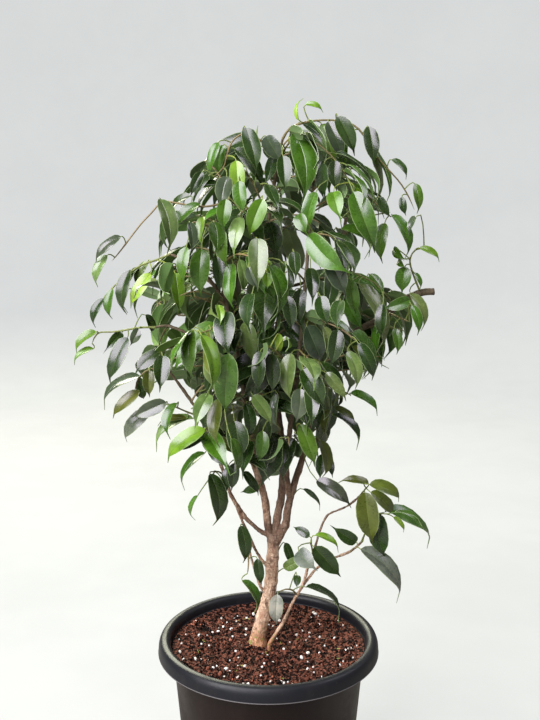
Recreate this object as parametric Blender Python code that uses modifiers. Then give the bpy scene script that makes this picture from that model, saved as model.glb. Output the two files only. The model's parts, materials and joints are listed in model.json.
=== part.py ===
"""Potted weeping fig.

A small weeping fig stands in a round nursery pot with a rolled lip. One main stem forks above the
potting mix into several limbs, and a thin second stem leans to the right beside it. Every limb
carries slender twigs with stalked, drooping leaves.

Units are metres, +Z is up, and the origin is the middle of the pot's underside.
"""

import math
import random

import bmesh
import bpy
from mathutils import Matrix, Vector
from mathutils.bvhtree import BVHTree

MM = 0.001
GAP = 0.3 * MM

# Nursery pot
POT_HEIGHT = 169.5 * MM
POT_BASE_RADIUS = 73.0 * MM
POT_NECK_RADIUS = 87.0 * MM
POT_NECK_HEIGHT = 156.0 * MM
POT_WALL = 2.0 * MM
POT_FLOOR = 2.4 * MM
LIP_RADIUS = 100.0 * MM
LIP_DROP = 13.5 * MM
LIP_INNER_SLOPE = ((88.8, 4.5), (89.2, 10.3), (91.6, 13.1), (94.4, 13.5), (97.6, 11.9), (99.4, 8.5))
LIP_UNDERSIDE = 0.4 * MM
BASE_CHAMFER = (1.6 * MM, 2.0 * MM)
POT_SEGMENTS = 30
DRAIN_HOLES = 6
DRAIN_RADIUS = 4.5 * MM
DRAIN_CIRCLE = 54.0 * MM

# Potting mix
MIX_LEVEL = 156.0 * MM
MIX_RELIEF = 0.9 * MM
MIX_RINGS = 5
BURIED_END = 118.0 * MM
HOLE_DEPTH = 1.0 * MM

# Point that the across and up readings of the plant are taken from, and its distance to the axis
EYE = Vector((1.4 * MM, -774.0 * MM, 544.0 * MM))
REACH = 774.0 * MM

# Twigs and leaves
TWIG_STEP = 24.0 * MM
TWIG_SLACK = 0.8 * MM
LIMB_SLACK = 0.7 * MM
TWIG_BASE_RADIUS = 1.1 * MM
TWIG_END_RADIUS = 0.8 * MM
TWIG_COLLAR = 2.8 * MM
STALK_RADIUS = 0.5 * MM
STALK_MIN = 4.5 * MM
STALK_CLEAR = 2.0 * MM
STALK_FOLD_LIMIT = -0.55
ROOT_SPACING = 1.8 * MM
LEAF_THICKNESS = 1.3 * MM
LEAF_FOLD = 0.16
LEAF_SLIMNESS = 0.42
LEAF_STATIONS = ((0.26, 0.96), (0.66, 0.88))
LEAF_CLEARANCE = 0.25 * MM
MOSAIC_CELL = 7.0
REAR_SIDE = 35.0 * MM
VIEW_REACH = 60.0
VIEW_MARGIN = 1.0 * MM
ROUTE_VARIANTS = 30
ROUTE_SHIFT = 8

# Where a leaf's root may lie along its twig, and how strongly the twig's outer end is preferred
LAST_SHARE = 0.98
SHARE_STEPS = 60
OUTER_END_PULL = 6.0

# Leaves placed one by one: depth in front of the root, and how far another try may shift it forward
# or back, lean it (mm) and turn it (radians)
HAND_VARIANTS = 90
HAND_SPREAD = 20
HAND_DEPTH = 5.0
HAND_FORWARD = 16.0
HAND_BACK = 14.0
HAND_LEAN = 14.0
HAND_SWAY = 0.45
HAND_BOW = (0.09, 0.12)

# Leaves placed by rule: lengths in mm, width over length, and how far they arch over their length
FILL_VARIANTS = 70
FILL_STALK = (6.0, 10.0)
FILL_DROOP = (0.7, 1.6)
FILL_LENGTH = (42.0, 56.0)
FILL_WIDTH = (0.42, 0.50)
FILL_BOW = (0.08, 0.16)
FILL_END_SHARE = 0.85
FILL_END_SIZE = 0.8
FILL_OVERLAP = 0.2
FILL_GAP_MARGIN = 3.0

# Woody parts rooted in the mix: first and last radius (mm), bevel resolution, and the route as
# (across, up, depth) in mm, seen from the front
TRUNK = (6.7, 5.5, 2, [(-9.8, 164, 13), (-8, 174, 13), (-5, 187, 13), (-1.5, 200, 13), (1.2, 210, 13),
                       (2.6, 222, 13), (3.5, 237, 13), (4.2, 250, 13), (5, 264, 13)])
LIMBS = [
    # left limb
    (3.6, 1.3, 1, [(4, 256, 13), (0, 270, 12), (-1.5, 282, 11), (-3, 295, 9), (-6, 308, 7), (-11, 325, 3),
                   (-15, 345, -1), (-18, 365, -5), (-20, 385, -8), (-24, 410, -12), (-30, 440, -16),
                   (-36, 470, -18), (-40, 500, -16), (-38, 530, -12), (-33, 560, -8)]),
    # middle limb, up to the top of the crown
    (3.9, 1.3, 1, [(5, 256, 13), (8, 280, 16), (11, 295, 18), (12.5, 310, 19), (13, 330, 20),
                   (11, 355, 20), (8, 380, 19), (5, 410, 18), (3, 440, 17), (2, 470, 16), (0, 500, 15),
                   (-1, 530, 14), (3, 560, 12), (8, 590, 8), (12, 610, 4)]),
    # right limb
    (3.7, 1.4, 1, [(7, 256, 13), (15, 272, 11), (17, 285, 10), (20, 300, 9), (24, 315, 9), (29, 330, 10),
                   (32, 345, 12), (36, 370, 15), (42, 400, 20), (50, 430, 25), (56, 460, 28),
                   (60, 490, 30), (63, 520, 30), (66, 545, 28)]),
    # inner fork of the right limb, toward the front
    (2.7, 1.3, 1, [(19, 296, 9), (17.5, 308, 4), (16, 322, -3), (17, 340, -10), (20, 370, -20),
                   (24, 400, -28), (27, 430, -34), (30, 460, -36), (32, 490, -34), (34, 520, -28),
                   (36, 550, -20), (38, 575, -12)]),
    # rear limb
    (2.6, 1.3, 1, [(13, 326, 20), (12, 342, 30), (8, 370, 48), (4, 400, 62), (0, 440, 72), (-3, 480, 74),
                   (-5, 520, 68), (-5, 555, 56)]),
    # low left branch and the thin one that joins it
    (2.1, 1.3, 1, [(2, 262, 13), (-6, 266, 12), (-12, 271, 10), (-20, 279, 6), (-28, 291, 2),
                   (-34, 302, -2), (-37, 312, -6), (-42, 328, -12), (-48, 347, -18), (-54, 362, -24),
                   (-64, 380, -28), (-76, 398, -30), (-88, 414, -30)]),
    (1.5, 1.2, 1, [(3, 229, 13), (-3, 236, 11), (-8, 243, 10), (-13, 252, 8), (-18, 265, 6),
                   (-23, 275, 4), (-28, 288, 1), (-34, 302, -2)]),
    # short low twig on the left of the trunk
    (1.3, 1.1, 1, [(-1, 208, 13), (-7, 214, 10), (-12, 229, 8), (-16, 244, 6), (-17, 253, 5)]),
    # left carrier
    (1.8, 1.2, 1, [(-24, 408, -12), (-40, 425, -20), (-60, 440, -24), (-85, 452, -26), (-98, 451, -26)]),
    # upper left carrier
    (1.7, 1.2, 1, [(-36, 470, -18), (-50, 492, -24), (-66, 506, -28), (-84, 514, -28)]),
    # right carrier, which ends in the pruned stub
    (2.5, 3.2, 1, [(50, 428, 25), (66, 442, 20), (84, 452, 14), (102, 462, 8), (116, 474, 4),
                   (131, 481, 1), (143, 482, 0)]),
    # rear left and rear right carriers
    (1.7, 1.2, 1, [(0, 440, 72), (-25, 450, 85), (-50, 458, 94), (-78, 462, 98)]),
    (1.7, 1.2, 1, [(-3, 480, 74), (25, 488, 86), (52, 494, 92), (78, 492, 92)]),
]
SIDE_STEM = (2.3, 1.3, 1, [(0.5, 159, 1), (6, 168, 1), (14, 181, 1), (20, 195, 2), (28, 210, 3),
                           (38, 225, 5), (45, 233, 6), (60, 242, 8), (74, 248, 8), (84, 257, 6)])
SIDE_STEM_FORK = (1.6, 1.2, 1, [(28, 210, 3), (33, 222, 2), (36, 235, 1), (42, 252, 0), (47, 270, -2),
                                (53, 282, -4), (61, 286, -6), (70, 290, -8), (80, 298, -10)])

# Leafy shoots: the twig's route as (across, up, depth) in mm from the wood that carries it, the leaves
# placed one by one as (base across, base up, tip across, tip up, width) in mm, and how many more
# follow the rule
SHOOTS = [
    # top of the crown
    ([(12, 610, 4), (18, 619, 0), (29, 623, -3), (40, 625, -5), (57, 625, -7), (72, 621, -8),
      (82, 610, -8), (89, 598, -8), (100, 586, -8), (112, 573, -6), (120, 560, -4), (124, 551, -3)],
     [(26, 625, 28, 643, 3), (31, 638, 46, 632, 5), (50, 624, 63, 590, 15), (58, 628, 73, 596, 16),
      (84, 620, 89, 587, 15), (104, 593, 117, 577, 6), (124, 573, 127, 548, 9), (113, 562, 117, 546, 8),
      (66, 612, 66, 585, 10)], 5),
    ([(8, 590, 8), (0, 602, -4), (-10, 611, -10), (-22, 614, -14), (-31, 607, -18), (-35, 596, -22),
      (-38, 586, -24), (-46, 579, -26)],
     [(-2, 612, 11, 590, 17), (-19, 619, -10, 581, 17), (-29, 602, -5, 567, 15), (-27, 592, -26, 557, 15),
      (-35, 579, -40, 552, 16), (-42, 607, -49, 579, 9), (-38, 605, -41, 580, 9), (-56, 583, -66, 562, 10),
      (-50, 580, -63, 560, 9)], 4),
    ([(8, 590, 8), (14, 602, -8), (22, 611, -20), (33, 610, -28), (44, 604, -32), (54, 595, -35),
      (62, 585, -37), (69, 574, -38)],
     [(22, 614, 30, 557, 17), (36, 606, 29, 561, 16), (56, 592, 58, 566, 13), (55, 566, 62, 542, 15),
      (40, 566, 35, 531, 13), (72, 566, 92, 515, 19), (12, 596, 14, 566, 14), (47, 590, 46, 560, 13)], 4),
    ([(38, 575, -12), (50, 577, -16), (64, 574, -20), (78, 567, -24), (90, 558, -26), (98, 549, -26),
      (106, 545, -25)],
     [(105, 547, 118, 509, 10), (99, 540, 97, 506, 13), (80, 560, 78, 530, 14), (94, 562, 104, 545, 9),
      (62, 535, 88, 513, 9), (68, 545, 85, 511, 6)], 6),
    # left shoulder and its outer twig
    ([(-33, 560, -8), (-42, 556, -14), (-54, 554, -18), (-66, 555, -20), (-78, 557, -22), (-90, 558, -22),
      (-99, 549, -20), (-107, 541, -18), (-116, 530, -16), (-127, 516, -14), (-134, 508, -12)],
     [(-92, 560, -85, 514, 13), (-82, 551, -84, 515, 10), (-66, 563, -81, 548, 7),
      (-126, 529, -149, 507, 9), (-138, 513, -148, 486, 9), (-58, 556, -81, 531, 10)], 6),
    ([(-84, 514, -28), (-96, 509, -29), (-108, 505, -28), (-119, 498, -26), (-130, 489, -24),
      (-140, 479, -22)],
     [(-119, 500, -124, 462, 12), (-101, 497, -120, 468, 12), (-142, 476, -151, 451, 8),
      (-103, 508, -113, 484, 9), (-80, 498, -77, 462, 13), (-134, 484, -136, 458, 8)], 6),
    ([(-98, 451, -26), (-110, 451, -28), (-122, 449, -28), (-135, 447, -27), (-148, 446, -26),
      (-153, 437, -25)],
     [(-122, 442, -140, 401, 15), (-127, 446, -143, 429, 10), (-149, 447, -168, 428, 8),
      (-112, 450, -120, 435, 10), (-152, 432, -170, 419, 5), (-106, 462, -101, 446, 8)], 4),
    # low left
    ([(-88, 414, -30), (-98, 415, -32), (-108, 412, -33), (-114, 404, -34), (-117, 395, -34)],
     [(-112, 408, -146, 380, 8), (-113, 394, -138, 371, 11), (-96, 429, -117, 410, 15),
      (-92, 426, -95, 394, 16), (-104, 413, -104, 389, 12), (-113, 407, -109, 387, 9)], 4),
    ([(-54, 362, -24), (-62, 372, -30), (-71, 376, -33), (-80, 380, -35), (-89, 384, -36)],
     [(-90, 385, -121, 371, 15), (-104, 378, -127, 349, 10), (-72, 370, -98, 365, 6),
      (-66, 370, -101, 342, 9), (-80, 384, -88, 352, 8)], 4),
    ([(-48, 347, -18), (-55, 350, -28), (-60, 355, -36), (-64, 361, -42)],
     [(-56, 360, -91, 331, 12), (-57, 357, -84, 340, 12), (-56, 339, -77, 306, 7),
      (-52, 392, -65, 361, 15)], 4),
    ([(-39, 318, -8), (-44, 322, -16), (-50, 322, -24)],
     [(-52, 320, -48, 271, 17), (-41, 311, -44, 296, 9), (-63, 300, -67, 277, 4)], 4),
    ([(-19, 266, 6), (-21, 270, 1), (-23, 273, -3)],
     [(-25, 272, -22, 236, 14)], 3),
    ([(-17, 253, 5), (-18, 246, -1), (-18, 236, -4), (-19, 227, -6)],
     [(-24, 220, -12, 188, 8), (-10, 241, -6, 215, 11)], 3),
    # low middle
    ([(13, 330, 20), (12, 346, 2), (10, 358, -18), (8, 366, -34), (2, 371, -46)],
     [(9, 358, -6, 308, 29), (-5, 359, -9, 330, 13), (-8, 309, -25, 303, 9), (-1, 372, -5, 345, 12)], 5),
    ([(-11, 325, 3), (-16, 330, -10), (-22, 333, -22), (-29, 334, -32)],
     [(-30, 330, -33, 304, 12), (-22, 322, -8, 300, 9), (-36, 326, -38, 300, 10)], 4),
    ([(32, 345, 12), (29, 353, -4), (26, 359, -18), (25, 364, -30)],
     [(23, 352, 13, 312, 15), (28, 365, 42, 326, 16), (23, 357, 38, 327, 6), (43, 314, 75, 289, 15),
      (46, 350, 49, 316, 11)], 5),
    ([(34, 356, 13), (42, 352, 6), (49, 346, 0), (54, 338, -4)],
     [(51, 339, 46, 314, 12), (53, 336, 57, 316, 8)], 4),
    # middle of the front
    ([(-30, 440, -16), (-34, 452, -34), (-38, 460, -48), (-43, 457, -58), (-50, 449, -64), (-60, 446, -68)],
     [(-37, 464, -34, 425, 21), (-46, 430, -48, 395, 21), (-34, 428, -38, 374, 23),
      (-58, 444, -52, 391, 10), (-52, 452, -53, 428, 7), (-20, 456, -14, 418, 16),
      (-66, 449, -66, 404, 11), (-44, 470, -42, 452, 6)], 4),
    ([(-20, 385, -8), (-24, 390, -26), (-28, 391, -42), (-34, 390, -56), (-42, 389, -66)],
     [(-43, 387, -45, 344, 13), (-30, 368, -27, 331, 21), (-49, 390, -52, 356, 12),
      (-33, 352, -31, 318, 12)], 4),
    ([(-18, 366, -5), (-16, 374, -22), (-14, 382, -38), (-12, 388, -50)],
     [(-14, 391, 3, 364, 13), (-20, 384, -19, 350, 12), (9, 392, 9, 360, 8)], 4),
    ([(24, 400, -28), (20, 412, -42), (14, 422, -52), (6, 430, -60), (-2, 436, -64)],
     [(10, 445, 10, 428, 8), (15, 441, 16, 430, 5), (-7, 430, -9, 394, 13), (2, 428, 3, 392, 14)], 5),
    ([(27, 430, -34), (27, 431, -50), (32, 426, -60), (40, 418, -67), (46, 408, -72)],
     [(20, 428, 20, 385, 15), (28, 397, 24, 366, 17), (30, 414, 50, 378, 19), (50, 411, 69, 386, 11),
      (44, 404, 40, 368, 13), (36, 399, 38, 362, 13)], 4),
    ([(30, 460, -36), (36, 458, -50), (46, 456, -60), (58, 452, -66), (68, 446, -70), (76, 439, -72)],
     [(33, 452, 47, 420, 22), (48, 451, 50, 420, 9), (60, 449, 54, 416, 15), (69, 430, 77, 396, 12),
      (78, 437, 92, 404, 9), (73, 434, 84, 411, 7), (45, 478, 52, 452, 14), (62, 474, 60, 448, 13)], 4),
    # right side
    ([(60, 490, 30), (68, 498, 12), (76, 497, -6), (84, 493, -20), (92, 489, -30), (98, 482, -36)],
     [(78, 488, 97, 428, 14), (68, 497, 99, 471, 10), (87, 497, 100, 477, 10), (66, 476, 82, 448, 14),
      (99, 471, 98, 440, 11)], 5),
    ([(131, 481, 1), (127, 490, -2), (123, 500, -4), (121, 510, -6), (126, 518, -7), (133, 519, -7)],
     [(117, 503, 115, 480, 16), (122, 480, 134, 448, 10), (125, 498, 131, 484, 5), (107, 519, 118, 509, 9),
      (111, 508, 118, 502, 7), (129, 519, 147, 508, 6), (121, 528, 124, 522, 5), (125, 546, 119, 530, 7)], 3),
    ([(102, 462, 8), (105, 463, -6), (108, 462, -18), (114, 459, -26), (122, 456, -30)],
     [(100, 462, 122, 440, 10), (98, 457, 98, 423, 8), (104, 455, 102, 414, 6), (109, 450, 112, 427, 9),
      (122, 475, 98, 467, 12), (124, 470, 130, 444, 8)], 4),
    ([(42, 400, 20), (49, 400, 8), (57, 398, -2), (65, 395, -10), (72, 391, -14)],
     [(72, 393, 97, 374, 8), (58, 380, 77, 367, 7), (56, 373, 80, 343, 7), (54, 378, 52, 353, 7),
      (46, 392, 44, 356, 13)], 4),
    # upper front
    ([(-40, 500, -16), (-34, 510, -36), (-26, 514, -52), (-16, 512, -64), (-6, 507, -72), (3, 504, -76)],
     [(-9, 527, -9, 483, 18), (-17, 503, -9, 484, 11), (1, 505, 4, 456, 12), (5, 507, 10, 483, 12),
      (-1, 498, -1, 484, 9), (-24, 512, -23, 480, 8), (-31, 508, -31, 466, 15), (-14, 480, -16, 446, 12),
      (13, 506, 14, 478, 10)], 4),
    ([(-1, 530, 14), (-6, 544, -4), (-12, 552, -22), (-18, 552, -38), (-24, 548, -50)],
     [(-24, 545, -30, 511, 14), (-5, 560, -17, 527, 17), (1, 541, 7, 511, 18), (-8, 540, -6, 521, 10),
      (-36, 560, -38, 534, 14), (-25, 575, -20, 548, 13)], 4),
    ([(-38, 530, -12), (-44, 534, -30), (-52, 538, -44), (-60, 541, -54), (-67, 540, -60)],
     [(-57, 518, -58, 477, 19), (-46, 541, -45, 514, 17), (-55, 545, -57, 521, 9), (-67, 541, -66, 515, 9),
      (-70, 520, -72, 488, 11), (-44, 512, -42, 480, 13)], 4),
    ([(34, 520, -28), (37, 528, -40), (44, 531, -48), (54, 529, -52), (63, 523, -54)],
     [(34, 530, 71, 497, 22), (38, 528, 45, 501, 13), (52, 508, 67, 478, 18), (25, 547, 33, 530, 13),
      (36, 502, 38, 470, 12), (70, 492, 76, 462, 12)], 4),
    ([(32, 490, -34), (26, 497, -48), (20, 500, -58), (14, 498, -66)],
     [(22, 516, 24, 492, 12), (28, 484, 27, 452, 14), (16, 478, 20, 448, 13), (14, 508, 13, 490, 8)], 4),
    # rear and inside of the crown
    ([(8, 370, 48), (-8, 376, 62), (-26, 380, 74), (-44, 374, 82)], [], 10),
    ([(4, 400, 62), (20, 404, 74), (38, 402, 84), (54, 394, 90)], [], 10),
    ([(-50, 458, 94), (-58, 442, 102), (-68, 424, 106), (-76, 408, 106)], [], 10),
    ([(-78, 462, 98), (-84, 472, 104), (-91, 475, 102), (-97, 468, 96)], [], 9),
    ([(52, 494, 92), (60, 478, 100), (68, 460, 104), (74, 442, 104)], [], 10),
    ([(78, 492, 92), (92, 486, 88), (104, 476, 82), (112, 464, 76)], [], 9),
    ([(-5, 555, 56), (-12, 572, 58), (-22, 586, 58), (-32, 594, 56)], [], 9),
    ([(-5, 520, 68), (12, 534, 72), (32, 546, 74), (50, 556, 72), (66, 558, 68)], [], 11),
    ([(-5, 524, 67), (-22, 534, 74), (-42, 542, 78), (-60, 544, 78)], [], 10),
    ([(2, 470, 16), (-16, 476, 26), (-36, 478, 36), (-58, 474, 44), (-80, 466, 48)], [], 11),
    ([(56, 460, 28), (70, 464, 40), (86, 460, 48), (100, 450, 50)], [], 9),
    ([(-24, 410, -12), (-36, 404, 2), (-52, 404, 12), (-66, 410, 20)], [], 9),
    ([(42, 400, 20), (54, 410, 30), (68, 414, 40), (80, 412, 46)], [], 9),
    ([(3, 560, 12), (14, 572, 22), (27, 583, 30), (40, 590, 34)], [], 10),
    ([(-33, 560, -8), (-38, 574, 2), (-46, 586, 8), (-54, 592, 10)], [], 8),
    ([(0, 500, 15), (2, 496, -4), (6, 490, -20), (8, 482, -34)], [], 8),
    ([(5, 410, 18), (4, 416, 0), (0, 422, -18), (-4, 426, -34)], [], 8),
]
SIDE_SHOOTS = [
    ([(80, 298, -10), (84, 303, -13), (87, 307, -16)],
     [(89, 311, 62, 313, 8), (90, 310, 118, 295, 9), (86, 303, 94, 254, 23), (91, 303, 112, 283, 13)], 0),
    ([(84, 257, 6), (87, 266, 2), (92, 276, -2), (99, 283, -4), (105, 285, -6)],
     [(97, 284, 105, 241, 21), (106, 287, 146, 253, 10), (108, 283, 138, 274, 6),
      (112, 280, 122, 266, 5)], 0),
    ([(74, 248, 8), (77, 251, 2), (80, 252, -3)],
     [(83, 250, 120, 200, 16), (79, 255, 56, 272, 14)], 0),
    ([(40, 246, 0), (39, 252, -5), (38, 256, -10)],
     [(41, 252, 66, 223, 19), (27, 248, 44, 230, 19), (37, 262, 22, 271, 10), (42, 263, 64, 248, 6)], 0),
    ([(26, 206, 3), (22, 211, -2), (16, 212, -6), (10, 210, -9)],
     [(8, 207, 7, 177, 15), (26, 225, 26, 212, 8), (34, 214, 66, 182, 6)], 0),
]

# Leaf colours, and the shoots that are still young and yellow-green
LEAF_GREEN = (0.055, 0.125, 0.030)
YOUNG_GREEN = (0.190, 0.330, 0.035)
YOUNG_SHOOTS = (6, 7, 25, 51)

# Outline that the leaves placed by rule keep inside, and the round gaps that they leave open, both
# as (across, up) in mm, a gap with its radius
CROWN_OUTLINE = [
    (0, 625), (40, 628), (72, 618), (90, 600), (104, 575), (106, 550), (92, 535), (90, 512), (76, 508),
    (78, 500), (100, 494), (108, 478), (126, 476), (136, 462), (124, 436), (108, 430), (96, 410),
    (80, 402), (66, 386), (56, 372), (52, 350), (46, 332), (26, 326), (8, 318), (-8, 312), (-28, 312),
    (-40, 322), (-56, 345), (-66, 372), (-80, 404), (-92, 396), (-112, 400), (-120, 430), (-104, 440),
    (-100, 455), (-128, 462), (-134, 486), (-118, 510), (-92, 518), (-92, 545), (-70, 566), (-56, 590),
    (-36, 612),
]
CROWN_GAPS = [
    (33, 517, 9), (20, 494, 7), (36, 476, 8), (66, 459, 6), (90, 505, 14), (-78, 527, 8), (-76, 452, 6),
    (-110, 441, 9), (-86, 394, 11), (12, 436, 4), (-14, 368, 7), (18, 368, 5), (-34, 370, 4),
    (-105, 471, 5), (56, 547, 8), (34, 556, 5),
]


def sighted(across, up, depth):
    """Point seen at (across, up) on the upright plane through the pot's axis, depth behind it, in mm."""
    on_plane = Vector((across * MM, 0.0, up * MM))
    return EYE + (on_plane - EYE) * (REACH + depth * MM) / REACH


def reading(point):
    """Across and up readings, in mm, of a point of the plant."""
    on_plane = EYE + (point - EYE) * REACH / (point.y - EYE.y)
    return on_plane.x / MM, on_plane.z / MM


def smooth_path(points, step):
    """Points along a smooth curve through the given ones, about a step apart."""
    path = []
    last = len(points) - 1
    for index in range(last):
        start, end = points[index], points[index + 1]
        pull_in = (end - points[max(index - 1, 0)]) / 2
        pull_out = (points[min(index + 2, last)] - start) / 2
        pieces = max(1, round((end - start).length / step))
        for piece in range(pieces):
            t = piece / pieces
            path.append(start * (2 * t**3 - 3 * t**2 + 1) + pull_in * (t**3 - 2 * t**2 + t)
                        + end * (3 * t**2 - 2 * t**3) + pull_out * (t**3 - t**2))
    path.append(points[-1].copy())
    return path


def thinned(path, slack):
    """Path without the points that lie within a slack of the straight line past them."""
    kept = [path[0]]
    index = 0
    while index < len(path) - 1:
        reach = index + 1
        for end in range(index + 2, len(path)):
            span = path[end] - path[index]
            heading = span.normalized()
            between = [point - path[index] for point in path[index + 1:end]]
            if any((arm - heading * arm.dot(heading)).length > slack for arm in between):
                break
            reach = end
        index = reach
        kept.append(path[index])
    return kept


def plain_material(name, colour, roughness):
    """Principled material with one colour."""
    material = bpy.data.materials.new(name)
    material.use_nodes = True
    shader = material.node_tree.nodes["Principled BSDF"]
    shader.inputs["Base Color"].default_value = (*colour, 1.0)
    shader.inputs["Roughness"].default_value = roughness
    shader.inputs["Metallic"].default_value = 0.0
    return material


def new_object(name, data, collection, material=None):
    """Object for a mesh or curve in a collection, with an optional material."""
    made = bpy.data.objects.new(name, data)
    collection.objects.link(made)
    if material is not None:
        data.materials.append(material)
    return made


def solid_from(source, name, collection, material=None):
    """Evaluated, welded mesh copy of an object, which it replaces."""
    bpy.context.view_layer.update()
    evaluated = source.evaluated_get(bpy.context.evaluated_depsgraph_get())
    mesh = bpy.data.meshes.new_from_object(evaluated)
    mesh.materials.clear()
    form = bmesh.new()
    form.from_mesh(mesh)
    bmesh.ops.remove_doubles(form, verts=form.verts, dist=1e-6)
    bmesh.ops.recalc_face_normals(form, faces=form.faces)
    form.to_mesh(mesh)
    form.free()
    world = source.matrix_world.copy()
    bpy.data.objects.remove(source)
    made = new_object(name, mesh, collection, material)
    made.matrix_world = world
    return made


def tube(name, path, radii, resolution, collection, material=None):
    """Solid round stem along a path, with a radius for each of its points."""
    curve = bpy.data.curves.new(name, "CURVE")
    curve.dimensions = "3D"
    curve.bevel_depth = 1.0
    curve.bevel_resolution = resolution
    curve.use_fill_caps = True
    spline = curve.splines.new("POLY")
    spline.points.add(len(path) - 1)
    for point, place, radius in zip(spline.points, path, radii):
        point.co = (*place, 1.0)
        point.radius = radius
    return solid_from(new_object(name + "_route", curve, collection), name, collection, material)


def tapered(first, last, path):
    """Radii that fall evenly from the first to the last along a path."""
    steps = [0.0]
    for start, end in zip(path, path[1:]):
        steps.append(steps[-1] + (end - start).length)
    return [first + (last - first) * step / steps[-1] for step in steps]


def fuse(target, others, solver):
    """Mesh of the target joined by one union with a collection of others."""
    union = target.modifiers.new("joined", "BOOLEAN")
    union.operation = "UNION"
    union.operand_type = "COLLECTION"
    union.collection = others
    union.solver = solver
    bpy.context.view_layer.update()
    evaluated = target.evaluated_get(bpy.context.evaluated_depsgraph_get())
    mesh = bpy.data.meshes.new_from_object(evaluated)
    target.modifiers.remove(union)
    return mesh


def keep_main_body(mesh):
    """Drop loose scraps and sealed hollows, and say whether one closed body is left."""
    form = bmesh.new()
    form.from_mesh(mesh)
    bmesh.ops.remove_doubles(form, verts=form.verts, dist=1e-7)
    bodies = []
    waiting = set(form.faces)
    while waiting:
        body = [waiting.pop()]
        for face in body:
            for edge in face.edges:
                for neighbour in edge.link_faces:
                    if neighbour in waiting:
                        waiting.remove(neighbour)
                        body.append(neighbour)
        bodies.append(body)
    bodies.sort(key=len, reverse=True)
    for body in bodies[1:]:
        bmesh.ops.delete(form, geom=body, context="FACES")
    loose = [vert for vert in form.verts if not vert.link_faces]
    bmesh.ops.delete(form, geom=loose, context="VERTS")
    closed = all(len(edge.link_faces) == 2 for edge in form.edges)
    form.to_mesh(mesh)
    form.free()
    return closed


def fused_node(name, target, others, collection, material):
    """Node made of a target and all the solids of a collection, which is emptied."""
    for solver in ("EXACT", "MANIFOLD"):
        mesh = fuse(target, others, solver)
        if keep_main_body(mesh):
            break
    for other in list(others.objects):
        bpy.data.objects.remove(other)
    bpy.data.objects.remove(target)
    mesh.materials.clear()
    made = new_object(name, mesh, collection, material)
    mesh.shade_smooth()
    mesh.set_sharp_from_angle(angle=math.radians(40))
    return made


def turned(name, profile, collection, material):
    """Object turned round the Z axis from a profile of (radius, height)."""
    mesh = bpy.data.meshes.new(name)
    points = [(radius, 0.0, height) for radius, height in profile]
    mesh.from_pydata(points, [(i, i + 1) for i in range(len(points) - 1)], [])
    made = new_object(name, mesh, collection, material)
    screw = made.modifiers.new("turn", "SCREW")
    screw.steps = POT_SEGMENTS
    screw.render_steps = POT_SEGMENTS
    screw.use_merge_vertices = True
    screw.merge_threshold = 0.00001
    return made


def wall_radius(height):
    """Outer radius of the pot's wall at a height."""
    return POT_BASE_RADIUS + (POT_NECK_RADIUS - POT_BASE_RADIUS) * height / POT_NECK_HEIGHT


def build_pot(collection, cutters):
    """Thin-walled nursery pot with a rolled lip and drainage holes."""
    edge = POT_HEIGHT - LIP_DROP
    inset, rise = BASE_CHAMFER
    profile = [(0.0, POT_FLOOR), (wall_radius(POT_FLOOR) - POT_WALL, POT_FLOOR),
               (wall_radius(edge) - POT_WALL, edge)]
    profile += [(radius * MM, edge + height * MM) for radius, height in LIP_INNER_SLOPE]
    profile += [(LIP_RADIUS, edge + 2.0 * MM), (LIP_RADIUS - 0.6 * MM, edge + LIP_UNDERSIDE),
                (LIP_RADIUS - 2.4 * MM, edge + LIP_UNDERSIDE), (wall_radius(edge), edge - 1.2 * MM),
                (wall_radius(rise), rise), (POT_BASE_RADIUS - inset, 0.0), (0.0, 0.0)]
    material = plain_material("pot_plastic", (0.030, 0.020, 0.020), 0.35)
    pot = solid_from(turned("pot_turned", profile, collection, None), "pot", collection, material)
    for index in range(DRAIN_HOLES):
        angle = math.tau * (index + 0.5) / DRAIN_HOLES
        place = Matrix.Translation((DRAIN_CIRCLE * math.cos(angle), DRAIN_CIRCLE * math.sin(angle), 0.0))
        mesh = bpy.data.meshes.new("drain_cutter")
        form = bmesh.new()
        bmesh.ops.create_cone(form, cap_ends=True, segments=8, radius1=DRAIN_RADIUS,
                              radius2=DRAIN_RADIUS, depth=12 * MM, matrix=place)
        form.to_mesh(mesh)
        form.free()
        hide_cutter(new_object("drain_cutter", mesh, cutters))
    cut = pot.modifiers.new("drainage", "BOOLEAN")
    cut.operand_type = "COLLECTION"
    cut.collection = cutters
    pot.data.shade_smooth()
    pot.data.set_sharp_from_angle(angle=math.radians(35))
    return pot


def hide_cutter(cutter):
    """Keep a cutter out of the model's own pieces."""
    cutter.hide_render = True
    cutter.display_type = "WIRE"


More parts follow.
